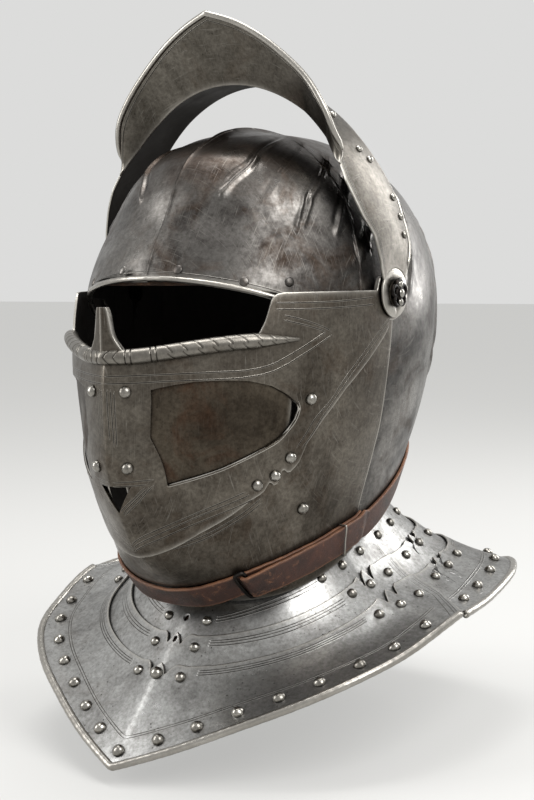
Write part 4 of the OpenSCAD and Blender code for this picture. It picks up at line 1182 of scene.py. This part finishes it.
def brimOut(row, v):
    n = brimOutRaw(row, v)
    return n * np.where(n[..., 1:2] > 0, -1, 1)


def brimSurf(row, v):
    return brimAt(row, v) + helmet["plate"] * brimOut(row, v)


v = equalPace(lambda v: brimAt(0.0, v), -1, 1, 1.2, [0])
brim = plate(
    "brim_plate", brimSurf, brimOut, v, np.zeros(len(v)), np.ones(len(v)), helmet["plate"], 46, inner=14,
    ends=True, innerShade=0.0
)
finishPiece(brim, "peak_body", "peak_steel", peakSteel, "brim")


def brimDepth(v):
    return np.linalg.norm(brimAt(1.0, v) - brimAt(0.0, v), axis=-1)


inner = np.linspace(-0.96, 0.96, 60)
border = strips(
    "brim_line", brimSurf, brimOut, [list(zip(4.0 / brimDepth(inner), inner))], pace=1.2, sides=(1,)
)
finishPiece(border, "peak_body", "peak_steel", peakSteel)
line = brimAt(0.0, v) + brimOut(0.0, v) * helmet["plate"] / 2
rim = tube(
    "brim_rim", line,
    helmet["rim"] * np.minimum(1, 0.45 + np.minimum(np.arange(len(v)), np.arange(len(v))[::-1]) / 12), 16,
    ups=brimOut(0.0, v)
)
finishPiece(rim, "peak_body", "edge_steel", edgeSteel, "brim_rim")
print("brim")

# neck guard

lameGap = helmet["lame"] + helmet["gap"]
rearDepth = 2 * helmet["gap"] + 0.2 + helmet["lame"]
depths = {
    "front_top": 2 * lameGap, "front_middle": lameGap, "front_main": 0.0,
    "rear_top": 2 * lameGap + rearDepth + 0.4, "rear_middle": lameGap + rearDepth + 0.2,
    "rear_main": rearDepth
}


frontTurn = 107
rearTurn = 107.8


def shoulder(t):
    return frontTurn + (99 - frontTurn) * np.maximum(0, (t - 0.6) / 0.4)


def past(a, start, span):
    return np.clip((np.abs(a) - start) / span, 0, 1)


def middleFrom(a):
    return 0.205 - 0.075 * np.sin(np.radians(np.minimum(np.abs(a), 90))) + 0.13 * past(a, 100, 45)


def mainFrom(a):
    return 0.39 - 0.06 * np.sin(np.radians(np.minimum(np.abs(a), 90))) + 0.14 * past(a, 100, 40)


def lameLength(a):
    return np.linalg.norm(edgeAt(a) - ringAt(a), axis=-1)


# pointed lobe between two round bites with an ear beyond each: distance along the edge, rise over it
cusp = np.array(
    [
        [0, 1.9], [0.6, 1.2], [1.5, 0.1], [2.4, -1.1], [3.2, -2.5], [3.9, -4.1], [4.5, -5.5], [5.1, -5.9],
        [5.7, -5.2], [6.5, -3.3], [7.5, -1.3], [8.5, 0.1], [9.6, 0.9], [11, 0.9], [12.8, 0.4], [15, 0]
    ],
    float
)


def lobed(base, a, spots, scale=1.0):
    rise = np.zeros(np.shape(a))
    for spot in spots:
        here = guardAt(base(np.asarray(spot, float)), np.asarray(spot, float))
        ahead = guardAt(base(np.asarray(spot + 1.0)), np.asarray(spot + 1.0))
        pace = np.linalg.norm(ahead - here)
        rise = rise + np.interp(np.abs(a - spot) * pace, cusp[:, 0], cusp[:, 1], right=0) * scale
    return base(a) - rise / lameLength(a)


def frontAt(depth):
    def at(t, v):
        aa = v * shoulder(t)
        return guardAt(t, aa) - depth * guardOut(t, aa)

    return at


def frontOut(t, v):
    return guardOut(t, v * shoulder(t))


def rearStart(t, tabFrom):
    return shoulder(t) + 0.8 - 4.8 * smooth((t - tabFrom) / 0.006) * smooth((0.885 - t) / 0.006)


def rearAngle(t, v, tabFrom):
    s0 = rearStart(t, tabFrom)
    return s0 + (360 - 2 * s0) * v


def clusters(spots, reach=0.105, n=64):
    return [s + d for s in spots for d in np.linspace(-reach, reach, n)]


# the holes in the middle of the upper lames, with the dark leather that shows in them
eyelets = {"front_top": 0.098, "front_middle": 0.228}


def eyelet(t, depth, wide=1.35, tall=1.9, low=-2.0, high=2.0):
    t, a = np.array(t), np.array(0.0)
    p, n = guardAt(t, a) - depth * guardOut(t, a), guardOut(t, a)
    down = unit(guardAt(t + 0.01, a) - guardAt(t, a))
    acrossIt = np.cross(n, down)
    w = np.linspace(0, 2 * math.pi, 24, endpoint=False)[:, None]
    ring = acrossIt * wide * np.cos(w) + down * tall * np.sin(w)
    return gridPiece(
        "eyelet", np.stack([p + ring + n * h for h in (low, high)]), closeCols=True, capEnds=True
    )


lames = {
    "front_top": {
        "from": lambda a: np.full(np.shape(a), -0.05), "to": lambda a: middleFrom(a) + 0.1, "spots": [],
        "rows": 30, "body": "bevor_body"
    },
    "front_middle": {
        "from": middleFrom, "to": lambda a: mainFrom(a) + 0.1, "spots": [-91, 0, 91], "rows": 34,
        "body": "front_middle_body"
    },
    "front_main": {
        "from": mainFrom, "to": lambda a: np.full(np.shape(a), 0.985), "spots": [-93.2, 0, 93.2],
        "rows": 84, "body": "front_main_body"
    },
}
for name, l in lames.items():
    extra = clusters([s / frontTurn for s in l["spots"]]) + [
        -1, -0.9985, -0.9965, -0.994, 1, 0.9985, 0.9965, 0.994
    ]
    cols = equalPace(lambda v: guardAt(0.4 + 0 * v, 105 * v), -1, 1, 1.7, extra)
    a0 = cols * frontTurn
    top = lobed(l["from"], a0, l["spots"])
    low = l["to"](a0)
    piece = plate(
        name + "_lame", frontAt(depths[name]), frontOut, cols, top, low, helmet["lame"], l["rows"],
        inner=12, rim=0.4, ends=True
    )
    if name in eyelets:
        hole = eyelet(eyelets[name], depths[name])
        cut(piece, hole)
        remove(hole)
    finishPiece(piece, l["body"], "guard_steel", guardSteel, name + "_lame")
    print(name, len(piece.data.polygons))

rearLames = {
    "rear_top": {
        "from": lambda a: -0.05 - 0.12 * (1 - past(a, 100, 50)), "to": lambda a: middleFrom(a) + 0.1,
        "tab": 0.06, "rows": 34, "body": "skull_body", "spots": []
    },
    "rear_middle": {
        "from": middleFrom, "to": lambda a: mainFrom(a) + 0.1, "tab": 0.24, "rows": 34,
        "body": "rear_middle_body", "spots": [127, 233]
    },
    "rear_main": {
        "from": mainFrom, "to": lambda a: np.full(np.shape(a), 0.985), "tab": 0.44, "rows": 84,
        "body": "rear_main_body", "spots": [122.7, 237.3]
    },
}
for name, l in rearLames.items():
    depth, tabFrom = depths[name], l["tab"]

    def at(t, v, depth=depth, tabFrom=tabFrom):
        aa = rearAngle(t, v, tabFrom)
        return guardAt(t, aa) - depth * guardOut(t, aa)

    def out(t, v, tabFrom=tabFrom):
        return guardOut(t, rearAngle(t, v, tabFrom))

    extra = clusters(
        [(s - rearTurn) / (360 - 2 * rearTurn) for s in l["spots"]], 0.06, 50
    ) + [0, 0.001, 0.0022, 0.004, 1, 0.999, 0.9978, 0.996]
    cols = equalPace(lambda v: guardAt(0.4 + 0 * v, 105 + 150 * v), 0, 1, 1.7, extra)
    a0 = rearTurn + (360 - 2 * rearTurn) * cols
    b0 = np.where(a0 > 180, 360 - a0, a0)
    rise = lobed(l["from"], b0, [s for s in l["spots"] if s < 180])
    piece = plate(
        name + "_lame", at, out, cols, rise, l["to"](b0), helmet["lame"], l["rows"], inner=12, rim=0.4,
        ends=True
    )
    finishPiece(piece, l["body"], "guard_steel", guardSteel, name + "_lame")
    print(name, len(piece.data.polygons))


# level of the rivets along the outer edge
def rowPlace(a):
    return 1 - 13.5 * (1 + 0.3 * np.abs(np.sin(np.radians(2 * a)))) / lameLength(np.asarray(a, float))


# engraved borders of the lames: level and turn
def along(base, far, a0, a1, n=14):
    a = np.linspace(a0, a1, n)
    t = (base(a) if callable(base) else np.full(n, float(base))) + far / lameLength(a)
    return list(zip(t, a))


def beside(turned, t0, t1, n=8):
    t = np.linspace(t0, t1, n)
    return list(zip(t, shoulder(t) - turned))


def under(depth):
    return lambda t, a: guardAt(t, a) - depth * guardOut(t, a)


guardLines = {
    "front_top": [
        along(middleFrom, d, 14, 66) for d in (-8.2, -9.6, -11)
    ] + [beside(k, 0.05, 0.15) for k in (1.5, 2.6)],
    "front_middle": [
        along(middleFrom, d, 14.5, 77) for d in (3.4, 4.8, 6.4)
    ] + [beside(k, 0.17, 0.36) for k in (1.5, 2.6, 4.2)],
    "front_main": [
        along(mainFrom, d, 14.5, 81) for d in (3.4, 4.9, 6.4)
    ] + [
        along(rowPlace, d, 0, 98, 30) for d in (-7.6, -9.4)
    ] + [beside(k, 0.37, 0.95) for k in (1.4, 2.3, 3.9)],
    "rear_middle": [along(middleFrom, d, 144, 180) for d in (3.4, 5.0)],
    "rear_main": [along(mainFrom, d, 136, 180) for d in (3.4, 5.0)] + [
        along(rowPlace, d, 101, 180, 30) for d in (-7.6, -9.4)
    ],
}
guardBodies = {
    "front_top": "bevor_body", "front_middle": "front_middle_body", "front_main": "front_main_body",
    "rear_middle": "rear_middle_body", "rear_main": "rear_main_body"
}
for name, lines in guardLines.items():
    border = strips(name + "_lines", under(depths[name]), guardOut, lines, pace=1.6)
    finishPiece(border, guardBodies[name], "guard_steel", guardSteel)
backing = [
    eyelet(t, depths[name], 2.6, 3.2, -helmet["lame"] - 0.42, -helmet["lame"] - 0.05)
    for name, t in eyelets.items()
]
for piece, body, name in zip(backing, ("bevor_body", "front_middle_body"), ("top", "middle")):
    piece.name = name + "_eyelet_leather"
    finishPiece(piece, body, "lining_leather", liningLeather)
print("guard lines")

for name, lo, hi, depth, body in (
    ("front", -98.5, 98.5, 0.0, "front_main_body"), ("rear", 101, 259, rearDepth, "rear_main_body")
):
    a = equalPace(lambda a: guardAt(0.965 + 0 * a, a), lo, hi, 1.0)
    line = guardAt(0.965 + 0 * a, a) - (depth + helmet["lame"] / 2) * guardOut(0.98 + 0 * a, a)
    wobble = helmet["edgeRoll"] * (1 + 0.035 * np.sin(a * 2.1) * np.sin(a * 0.83 + 1))
    piece = tube(name + "_roll", line, wobble, 14, ups=guardOut(0.965 + 0 * a, a))
    finishPiece(piece, body, "edge_steel", edgeSteel, name + "_edge_roll")
print("rolls")

# rivets


# one domed rivet head, standing on the origin
def dome():
    deselectAll()
    bpy.ops.mesh.primitive_uv_sphere_add(segments=28, ring_count=18, radius=1)
    piece = bpy.context.object
    bpy.ops.object.mode_set(mode="EDIT")
    bpy.ops.mesh.select_all(action="SELECT")
    bpy.ops.mesh.bisect(plane_co=(0, 0, -0.12), plane_no=(0, 0, 1), clear_inner=True, use_fill=True)
    bpy.ops.object.mode_set(mode="OBJECT")
    bpy.ops.object.shade_smooth()
    return piece


def placeCopies(name, model, spots, high=0.86, sink=0.12):
    copies = []
    for k, (p, n, r) in enumerate(spots):
        copy = model.copy()
        copy.data = model.data.copy()
        bpy.context.scene.collection.objects.link(copy)
        spin = (k * 2.399) % (2 * math.pi)
        wob = 1 + 0.035 * math.sin(k * 3.7)
        z = Vector(n).normalized()
        x = z.orthogonal().normalized()
        y = z.cross(x)
        co = np.array([v.co[:] for v in model.data.vertices])
        c, s = math.cos(spin), math.sin(spin)
        co = np.stack(
            [
                (co[:, 0] * c - co[:, 1] * s) * r * wob, (co[:, 0] * s + co[:, 1] * c) * r / wob,
                (co[:, 2] + 0.12) * r * high
            ],
            -1
        )
        co[:, 2] += 0.05 * r * np.sin(co[:, 0] / r * 2.2 + k) * (co[:, 2] > 0.4 * r)
        m = np.array([list(x), list(y), list(z)])
        placed = np.asarray(p) + (co - [0, 0, sink]) @ m
        copy.data.vertices.foreach_set("co", (placed * mm).astype(np.float32).ravel())
        copies.append(copy)
    return join(name, copies)


rivetModel = dome()


def faceSpot(u, s, side, r, depth=0.0):
    s = s * side
    n = faceOut(u, s)
    return (faceAt(u, s) - depth * n, n, r)


def guardSpot(a, t, depth, r):
    n = guardOut(t, a)
    return (guardAt(t, a) - depth * n, n, r)


rivetR = helmet["rivet"]
visorSpots = [[2.18, 0.17], [3.96, 0.17], [2.423, 0.738], [3.873, 0.699], [4.325, 0.657], [4.528, 0.604]]
rivetSets = {
    "visor_rivets": (
        "visor_body", [faceSpot(u, s, k, rivetR * 1.04) for u, s in visorSpots for k in (1, -1)]
    ),
    "bevor_rivets": ("bevor_body", [faceSpot(5.44, 0.767, k, rivetR * 1.1, bevorIn) for k in (1, -1)]),
    "brow_rivets": (
        "skull_body",
        [
            (skullSurf(np.array([u]), np.array([a]))[0], skullBaseOut(u, a), 2.9)
            for u, a in [(5.3, 9.4), (5.3, -9.4), (5.57, 32.1), (5.57, -32.1), (5.6, 48), (5.6, -48)]
        ]
    ),
    "band_rivets": (
        "peak_body",
        [
            (bandSurf(turn, t), armOut(turn, t), rivetR * 0.72)
            for t0, turn in [
                (63, 90), (55, 91), (41, 90.3), (37.6, 94.4), (26.8, 105), (21.6, 110.5), (16.6, 113)
            ]
            for t in (t0, 180 - t0)
        ]
    ),
    "front_top_rivets": (
        "bevor_body",
        [
            guardSpot(k * a, t, depths["front_top"], rivetR * 0.92)
            for a, t in [(10.5, 0.105), (69, 0.02), (83.5, 0.025), (95.5, 0.025)] for k in (1, -1)
        ]
    ),
    "front_middle_rivets": (
        "front_middle_body",
        [
            guardSpot(k * a, t, depths["front_middle"], rivetR * 0.95)
            for a, t in [(10, 0.262), (81.5, 0.18), (91, 0.213), (99.6, 0.231)] for k in (1, -1)
        ]
    ),
    "front_main_rivets": (
        "front_main_body",
        [
            guardSpot(k * a, t, 0, rivetR * 0.98)
            for a, t in [(9.7, 0.45), (86, 0.431), (93.2, 0.49), (100, 0.525)] for k in (1, -1)
        ] + [guardSpot(0.0, 0.441, 0, rivetR * 1.2)]
    ),
    "rear_top_rivets": (
        "skull_body",
        [
            guardSpot(k * a, t, depths["rear_top"], rivetR * 0.92)
            for a, t in [(112, 0.04), (126, 0.07), (141, 0.12), (170, 0.14)] for k in (1, -1)
        ]
    ),
    "rear_middle_rivets": (
        "rear_middle_body",
        [
            guardSpot(k * a, t, depths["rear_middle"], rivetR * 0.95)
            for a, t in [(116, 0.235), (127, 0.273), (139, 0.333), (170, 0.34)] for k in (1, -1)
        ]
    ),
    "rear_main_rivets": (
        "rear_main_body",
        [
            guardSpot(k * a, t, depths["rear_main"], rivetR * 0.98)
            for a, t in [(114.7, 0.488), (122.7, 0.517), (131, 0.539), (170, 0.56)] for k in (1, -1)
        ]
    ),
}


frontRow = [0, 11.3, 21, 31.5, 43, 55, 68, 80.7, 91]
rearRow = [109, 118, 127, 136.5, 146.5, 157, 168.5, 180]
rivetSets["front_edge_rivets"] = (
    "front_main_body",
    [guardSpot(float(a), rowPlace(a), 0, rivetR * 1.14) for a in frontRow + [-b for b in frontRow[1:]]]
)
rivetSets["rear_edge_rivets"] = (
    "rear_main_body",
    [
        guardSpot(float(a), rowPlace(a), rearDepth, rivetR * 1.08)
        for a in rearRow + [-b for b in rearRow[:-1]]
    ]
)
for name, (body, spots) in rivetSets.items():
    flat = name == "brow_rivets"
    heads = placeCopies(name + "_heads", rivetModel, spots, 0.36 if flat else 0.86)
    finishPiece(heads, body, "rivet_steel", skullSteel if flat else rivetSteel, name)
remove(rivetModel)
print("rivets")

# rosettes at the temples

stackX = discX + helmet["plate"]


def lump(where, r, squash=0.7):
    deselectAll()
    bpy.ops.mesh.primitive_uv_sphere_add(
        segments=24, ring_count=14, radius=r * mm, location=Vector(where) * mm
    )
    piece = bpy.context.object
    piece.scale = (squash, 1, 1)
    bpy.ops.object.transform_apply(location=True, rotation=True, scale=True)
    bpy.ops.object.shade_smooth()
    return piece


for side, word in ((1, "left"), (-1, "right")):
    x0 = stackX + 1.3
    rings = []
    for k in range(5):
        w = math.radians(72 * k + 20)
        deselectAll()
        bpy.ops.mesh.primitive_torus_add(
            major_segments=30, minor_segments=12, major_radius=3.0 * mm, minor_radius=1.15 * mm,
            location=(side * (x0 + 1.3) * mm, 5.0 * math.cos(w) * mm, 5.0 * math.sin(w) * mm),
            rotation=(0, math.pi / 2, 0)
        )
        bpy.ops.object.transform_apply(location=True, rotation=True, scale=True)
        bpy.ops.object.shade_smooth()
        rings.append(bpy.context.object)
    rings.append(lump((side * (x0 + 1.2), 0, 0), 4.4, 0.42))
    star = join("rosette_" + word, rings)
    nodes = ["rosette_nuts"] if side > 0 else []
    finishPiece(star, "skull_body", "dark_iron", ironDark, *nodes)
    domes = join(
        "rosette_studs_" + word,
        [
            lump((side * (x0 + 1.6), 0.4, 5.2), 2.3), lump((side * (x0 + 2.2), 0, 0), 3.0),
            lump((side * (x0 + 1.6), 0.6, -5.4), 2.4)
        ]
    )
    finishPiece(domes, "skull_body", "rivet_steel", rivetSteel)
print("rosettes")

# neck strap

strap = {
    "wide": 17, "thick": 2.0, "rest": 0.35, "tail": 8, "tip": 1.13, "loop": 0.47, "loopWire": 1.2,
    "keeper": 0.93
}


def strapLevel(s):
    return 9.55 + (6.78 - 9.55) * np.abs(s) ** 1.5


def strapSpot(v, s, lift):
    v, s, lift = np.broadcast_arrays(np.asarray(v, float), np.asarray(s, float), np.asarray(lift, float))
    throat = smooth((0.5 - np.abs(s)) / 0.35)
    c = strapLevel(s) + 0.2 * throat
    lift = lift + 4.2 * (v + 0.5) * throat
    per = np.linalg.norm(faceAt(c + 0.3, s) - faceAt(c - 0.3, s), axis=-1) / 0.6
    n = faceOut(c, s)
    return faceAt(c + v * strap["wide"] / per, s) + (strap["rest"] - bevorIn + lift)[..., None] * n


def strapPace(s):
    return float(np.linalg.norm(strapSpot(0, s + 0.01, 0) - strapSpot(0, s - 0.01, 0)) / 0.02)


# points round a flat strap's section: across share and height
def sectionRing(wide, thick, corner=0.7, n=5):
    pts = []
    for cx, cy, start in (
        (wide / 2 - corner, thick / 2 - corner, 0), (-wide / 2 + corner, thick / 2 - corner, 90),
        (-wide / 2 + corner, -thick / 2 + corner, 180), (wide / 2 - corner, -thick / 2 + corner, 270)
    ):
        for k in range(n):
            w = math.radians(start + 90 * k / (n - 1))
            pts.append((cx + corner * math.cos(w), cy + corner * math.sin(w)))
        if start in (0, 180):
            sign = 1 if start == 0 else -1
            for q in np.linspace(0, 1, 10)[1:-1]:
                pts.append((sign * (wide / 2 - corner) * (1 - 2 * q), sign * thick / 2))
    return np.array(pts)


# the strap's edges are rubbed along its whole length
def rubbedEdges(ring, n):
    return np.clip((np.abs(ring[:, 0]) - 6.9) / 1.3, 0, 1)[:, None] * np.ones(n)[None, :]


# spots: list of (share, lift); the strap's middle line lies at that lift
def strapPiece(name, spots, widths=1.0):
    spots = np.array(spots, float)
    ring = sectionRing(strap["wide"], strap["thick"])
    s, lift = spots[:, 0], spots[:, 1]
    rows = []
    wave = 0.12 * np.sin(np.arange(len(s)) * 0.23) + 0.08 * np.sin(np.arange(len(s)) * 0.61 + 1)
    middle = strapSpot(0, s, lift)
    left, right = strapSpot(-0.5, s, lift), strapSpot(0.5, s, lift)
    d = unit(np.gradient(middle, axis=0))
    across = unit(right - left)
    n = unit(np.cross(across, d))
    n = n * np.sign(np.sum(n * faceOut(strapLevel(s), s), axis=1))[:, None]
    for k in range(1, len(n)):
        if n[k] @ n[k - 1] < 0:
            n[k] = -n[k]
    for a, h in ring:
        w = (a / strap["wide"] * widths * np.ones(len(s)))[:, None]
        base = left * (0.5 - w) + right * (0.5 + w)
        rows.append(base + n * h + across * (wave * (a / strap["wide"]) * 2)[:, None])
    pts = np.array(rows)
    return gridPiece(name, pts, closeRows=True, capEnds=True, wear=rubbedEdges(ring, len(s)))


half = strap["thick"] / 2
stop = strap["loop"] - 0.8 / strapPace(strap["loop"])
front = strapPiece("strap_front_leather", [(q, half) for q in np.linspace(-0.999, stop, 190)])
finishPiece(front, "bevor_body", "strap_leather", strapLeather, "strap_front")
turnR = strap["loopWire"] + 0.35 + half
barLift = strap["thick"] + 0.3 + strap["loopWire"]
barS = strap["loop"] + 2.8 / strapPace(strap["loop"])
k = np.linspace(0, 1, 110)
outerS = strap["tip"] + (barS - strap["tip"]) * k
outerLift = (
    barLift - turnR + 2 * half + 0.15
) * (1 - k**3) + (barLift + turnR) * k**3 + 0.45 * half * (1 - k**3) - 1.7 * smooth((outerS - 1.03) / 0.08)
turnLine = [
    (
        barS - turnR * math.sin(math.radians(a)) / strapPace(strap["loop"]),
        barLift + turnR * math.cos(math.radians(a))
    )
    for a in range(10, 171, 10)
]
inner = [(q, barLift - turnR) for q in np.linspace(barS, 1.042, 96)]
widths = np.ones(110 + len(turnLine) + 96)
widths[:110] = np.clip(0.12 + (strap["tip"] - outerS) * 100 / 9, 0, 1) ** 0.8
fold = strapPiece("strap_fold_leather", list(zip(outerS, outerLift)) + turnLine + inner, widths)
finishPiece(fold, "bevor_body", "strap_leather", strapLeather, "strap_fold")
loopLine = []
pace = strapPace(strap["loop"])
for a in np.linspace(0, 360, 96, endpoint=False):
    w = math.radians(a)
    x = 2.8 * power(math.cos(w), 0.5)
    y = (8.5 + strap["loopWire"] + 0.8) * power(math.sin(w), 0.35)
    loopLine.append(strapSpot(y / strap["wide"], strap["loop"] + x / pace, barLift))
loopLine = np.array(loopLine)
outAt = faceOut(strapLevel(strap["loop"]), strap["loop"])
d = unit(np.roll(loopLine, -1, 0) - np.roll(loopLine, 1, 0))
sideways = unit(np.cross(d, outAt))
w = np.linspace(0, 2 * math.pi, 14, endpoint=False)[:, None, None]
pts = loopLine[None] + strap["loopWire"] * (np.cos(w) * sideways[None] + np.sin(w) * outAt[None, None])
loop = gridPiece("strap_loop_iron", pts, closeRows=True, closeCols=True, wear=np.full(pts.shape[:2], 0.1))
finishPiece(loop, "bevor_body", "dark_iron", ironDark, "strap_loop")
edge = 0.5 + 0.75 / strap["wide"]
highTop = 2 * strap["thick"] + 1.7
keeperPath = spread(
    [
        (-edge, 0.5), (-edge, highTop * 0.55), (-edge + 0.015, highTop), (0, highTop + 0.1),
        (edge - 0.015, highTop), (edge, highTop * 0.55), (edge, 0.5)
    ],
    60
)
line = np.array([strapSpot(v, strap["keeper"], h) for v, h in keeperPath])
keeper = tube(
    "strap_keeper_wire", line, 0.55, 10, ups=np.broadcast_to(unit(np.array([0.31, 0.2, 0.93])), line.shape)
)
finishPiece(keeper, "bevor_body", "wire", edgeSteel, "strap_keeper")
rearPath = spread(
    [
        (11.5, 88.3), (11.15, 95.8), (10.89, 104.3), (10.68, 113.0), (10.34, 126.7), (10.06, 140.4),
        (9.85, 157.8), (9.75, 168.6), (9.69, 180.0)
    ],
    90
)
rearPath[:, 0] += 0.27 * smooth((140 - rearPath[:, 1]) / 45)
spots = np.concatenate([rearPath, np.stack([rearPath[-2::-1, 0], 360 - rearPath[-2::-1, 1]], -1)])
per = np.linalg.norm(
    skullAt(spots[:, 0] + 0.3, spots[:, 1]) - skullAt(spots[:, 0] - 0.3, spots[:, 1]), axis=-1
) / 0.6
rows = []
ring = sectionRing(strap["wide"], strap["thick"])
n = skullBaseOut(spots[:, 0], spots[:, 1])
for a, h in ring:
    base = skullAt(spots[:, 0] + a / per, spots[:, 1])
    rows.append(base + n * (strap["rest"] + half + h))
pts = np.array(rows)
rearStrap = gridPiece(
    "strap_rear_leather", pts, closeRows=True, capEnds=True, wear=rubbedEdges(ring, len(spots))
)
finishPiece(rearStrap, "skull_body", "strap_leather", strapLeather, "strap_rear")
print("straps")
remove(bore)

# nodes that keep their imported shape

kept = {
    "temple_pins": ironDark, "temple_washers": faceSteel, "stop_studs": rivetSteel,
    "brow_liner": liningLeather, "front_leathers": liningLeather,
    "front_edge_liner": liningLeather, "rear_edge_liner": liningLeather,
}
for name, material in kept.items():
    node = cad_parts[name]
    node.data.materials.clear()
    node.data.materials.append(material)
    if "lin" in name or "leathers" in name:
        deselectAll()
        node.select_set(True)
        bpy.context.view_layer.objects.active = node
        bpy.ops.object.shade_smooth_by_angle(angle=math.radians(35))

# stage

floorZ = -0.2745
deselectAll()
bpy.ops.mesh.primitive_plane_add(size=14, location=(0, 0, floorZ))
floor = bpy.context.object
floor.name = "floor"


# 1 for rays that should show the plain background: from the camera, and mirrored in metal
def shownTo(tree):
    path = add(tree, "ShaderNodeLightPath").outputs
    return maths(
        tree, "MAXIMUM", maths(tree, "MAXIMUM", path["Is Camera Ray"], path["Is Glossy Ray"]),
        path["Is Transmission Ray"]
    )


paint, tree = newMaterial("floor_paint")
shader = add(tree, "ShaderNodeBsdfPrincipled", Base_Color=linear("#dcdbd8"), Roughness=0.8)
glow = add(tree, "ShaderNodeEmission", Color=linear("#dcdcda"))
mixed = add(tree, "ShaderNodeMixShader", {"Fac": times(tree, shownTo(tree), 0.62)})
tree.links.new(shader.outputs[0], mixed.inputs[1])
tree.links.new(glow.outputs[0], mixed.inputs[2])
add(tree, "ShaderNodeOutputMaterial", {"Surface": mixed.outputs[0]})
floor.data.materials.append(paint)

world = bpy.data.worlds.new("studio")
bpy.context.scene.world = world
world.use_nodes = True
tree = world.node_tree
tree.nodes.clear()
plain = add(tree, "ShaderNodeBackground", Color=linear("#dcdcdb"), Strength=1.0)
dim = add(tree, "ShaderNodeBackground", Color=linear("#dcdcdb"), Strength=0.7)
mixed = add(tree, "ShaderNodeMixShader", {"Fac": shownTo(tree)})
tree.links.new(dim.outputs[0], mixed.inputs[1])
tree.links.new(plain.outputs[0], mixed.inputs[2])
add(tree, "ShaderNodeOutputWorld", {"Surface": mixed.outputs[0]})


def softbox(name, where, target, size, power):
    deselectAll()
    bpy.ops.object.light_add(type="AREA", location=where)
    lamp = bpy.context.object
    lamp.name = name
    lamp.data.shape = "RECTANGLE"
    lamp.data.size, lamp.data.size_y = size
    lamp.data.energy = power
    lamp.rotation_euler = (Vector(target) - Vector(where)).to_track_quat("-Z", "Y").to_euler()
    return lamp


softbox("key_box", (1.1, -0.35, 0.95), (0, 0, -0.05), (0.7, 1.0), 20)
softbox("fill_box", (-1.0, -0.9, 0.5), (0, 0, -0.05), (0.5, 1.1), 11)
softbox("top_box", (-0.15, 0.1, 1.3), (0, 0, -0.05), (0.9, 0.7), 17)
softbox("rim_box", (0.5, 1.2, 0.4), (0, 0, -0.1), (0.4, 1.0), 10)

deselectAll()
bpy.ops.object.camera_add(
    location=(0.55426, -0.80350, 0.02467), rotation=(1.47638286, 0.01658991, 0.59320787)
)
camera = bpy.context.object
camera.name = "camera"
camera.data.lens = 69.75
camera.data.sensor_width = 36
camera.data.clip_start = 0.01
camera.data.dof.use_dof = False
bpy.context.scene.camera = camera
bpy.context.scene.view_settings.view_transform = "Standard"
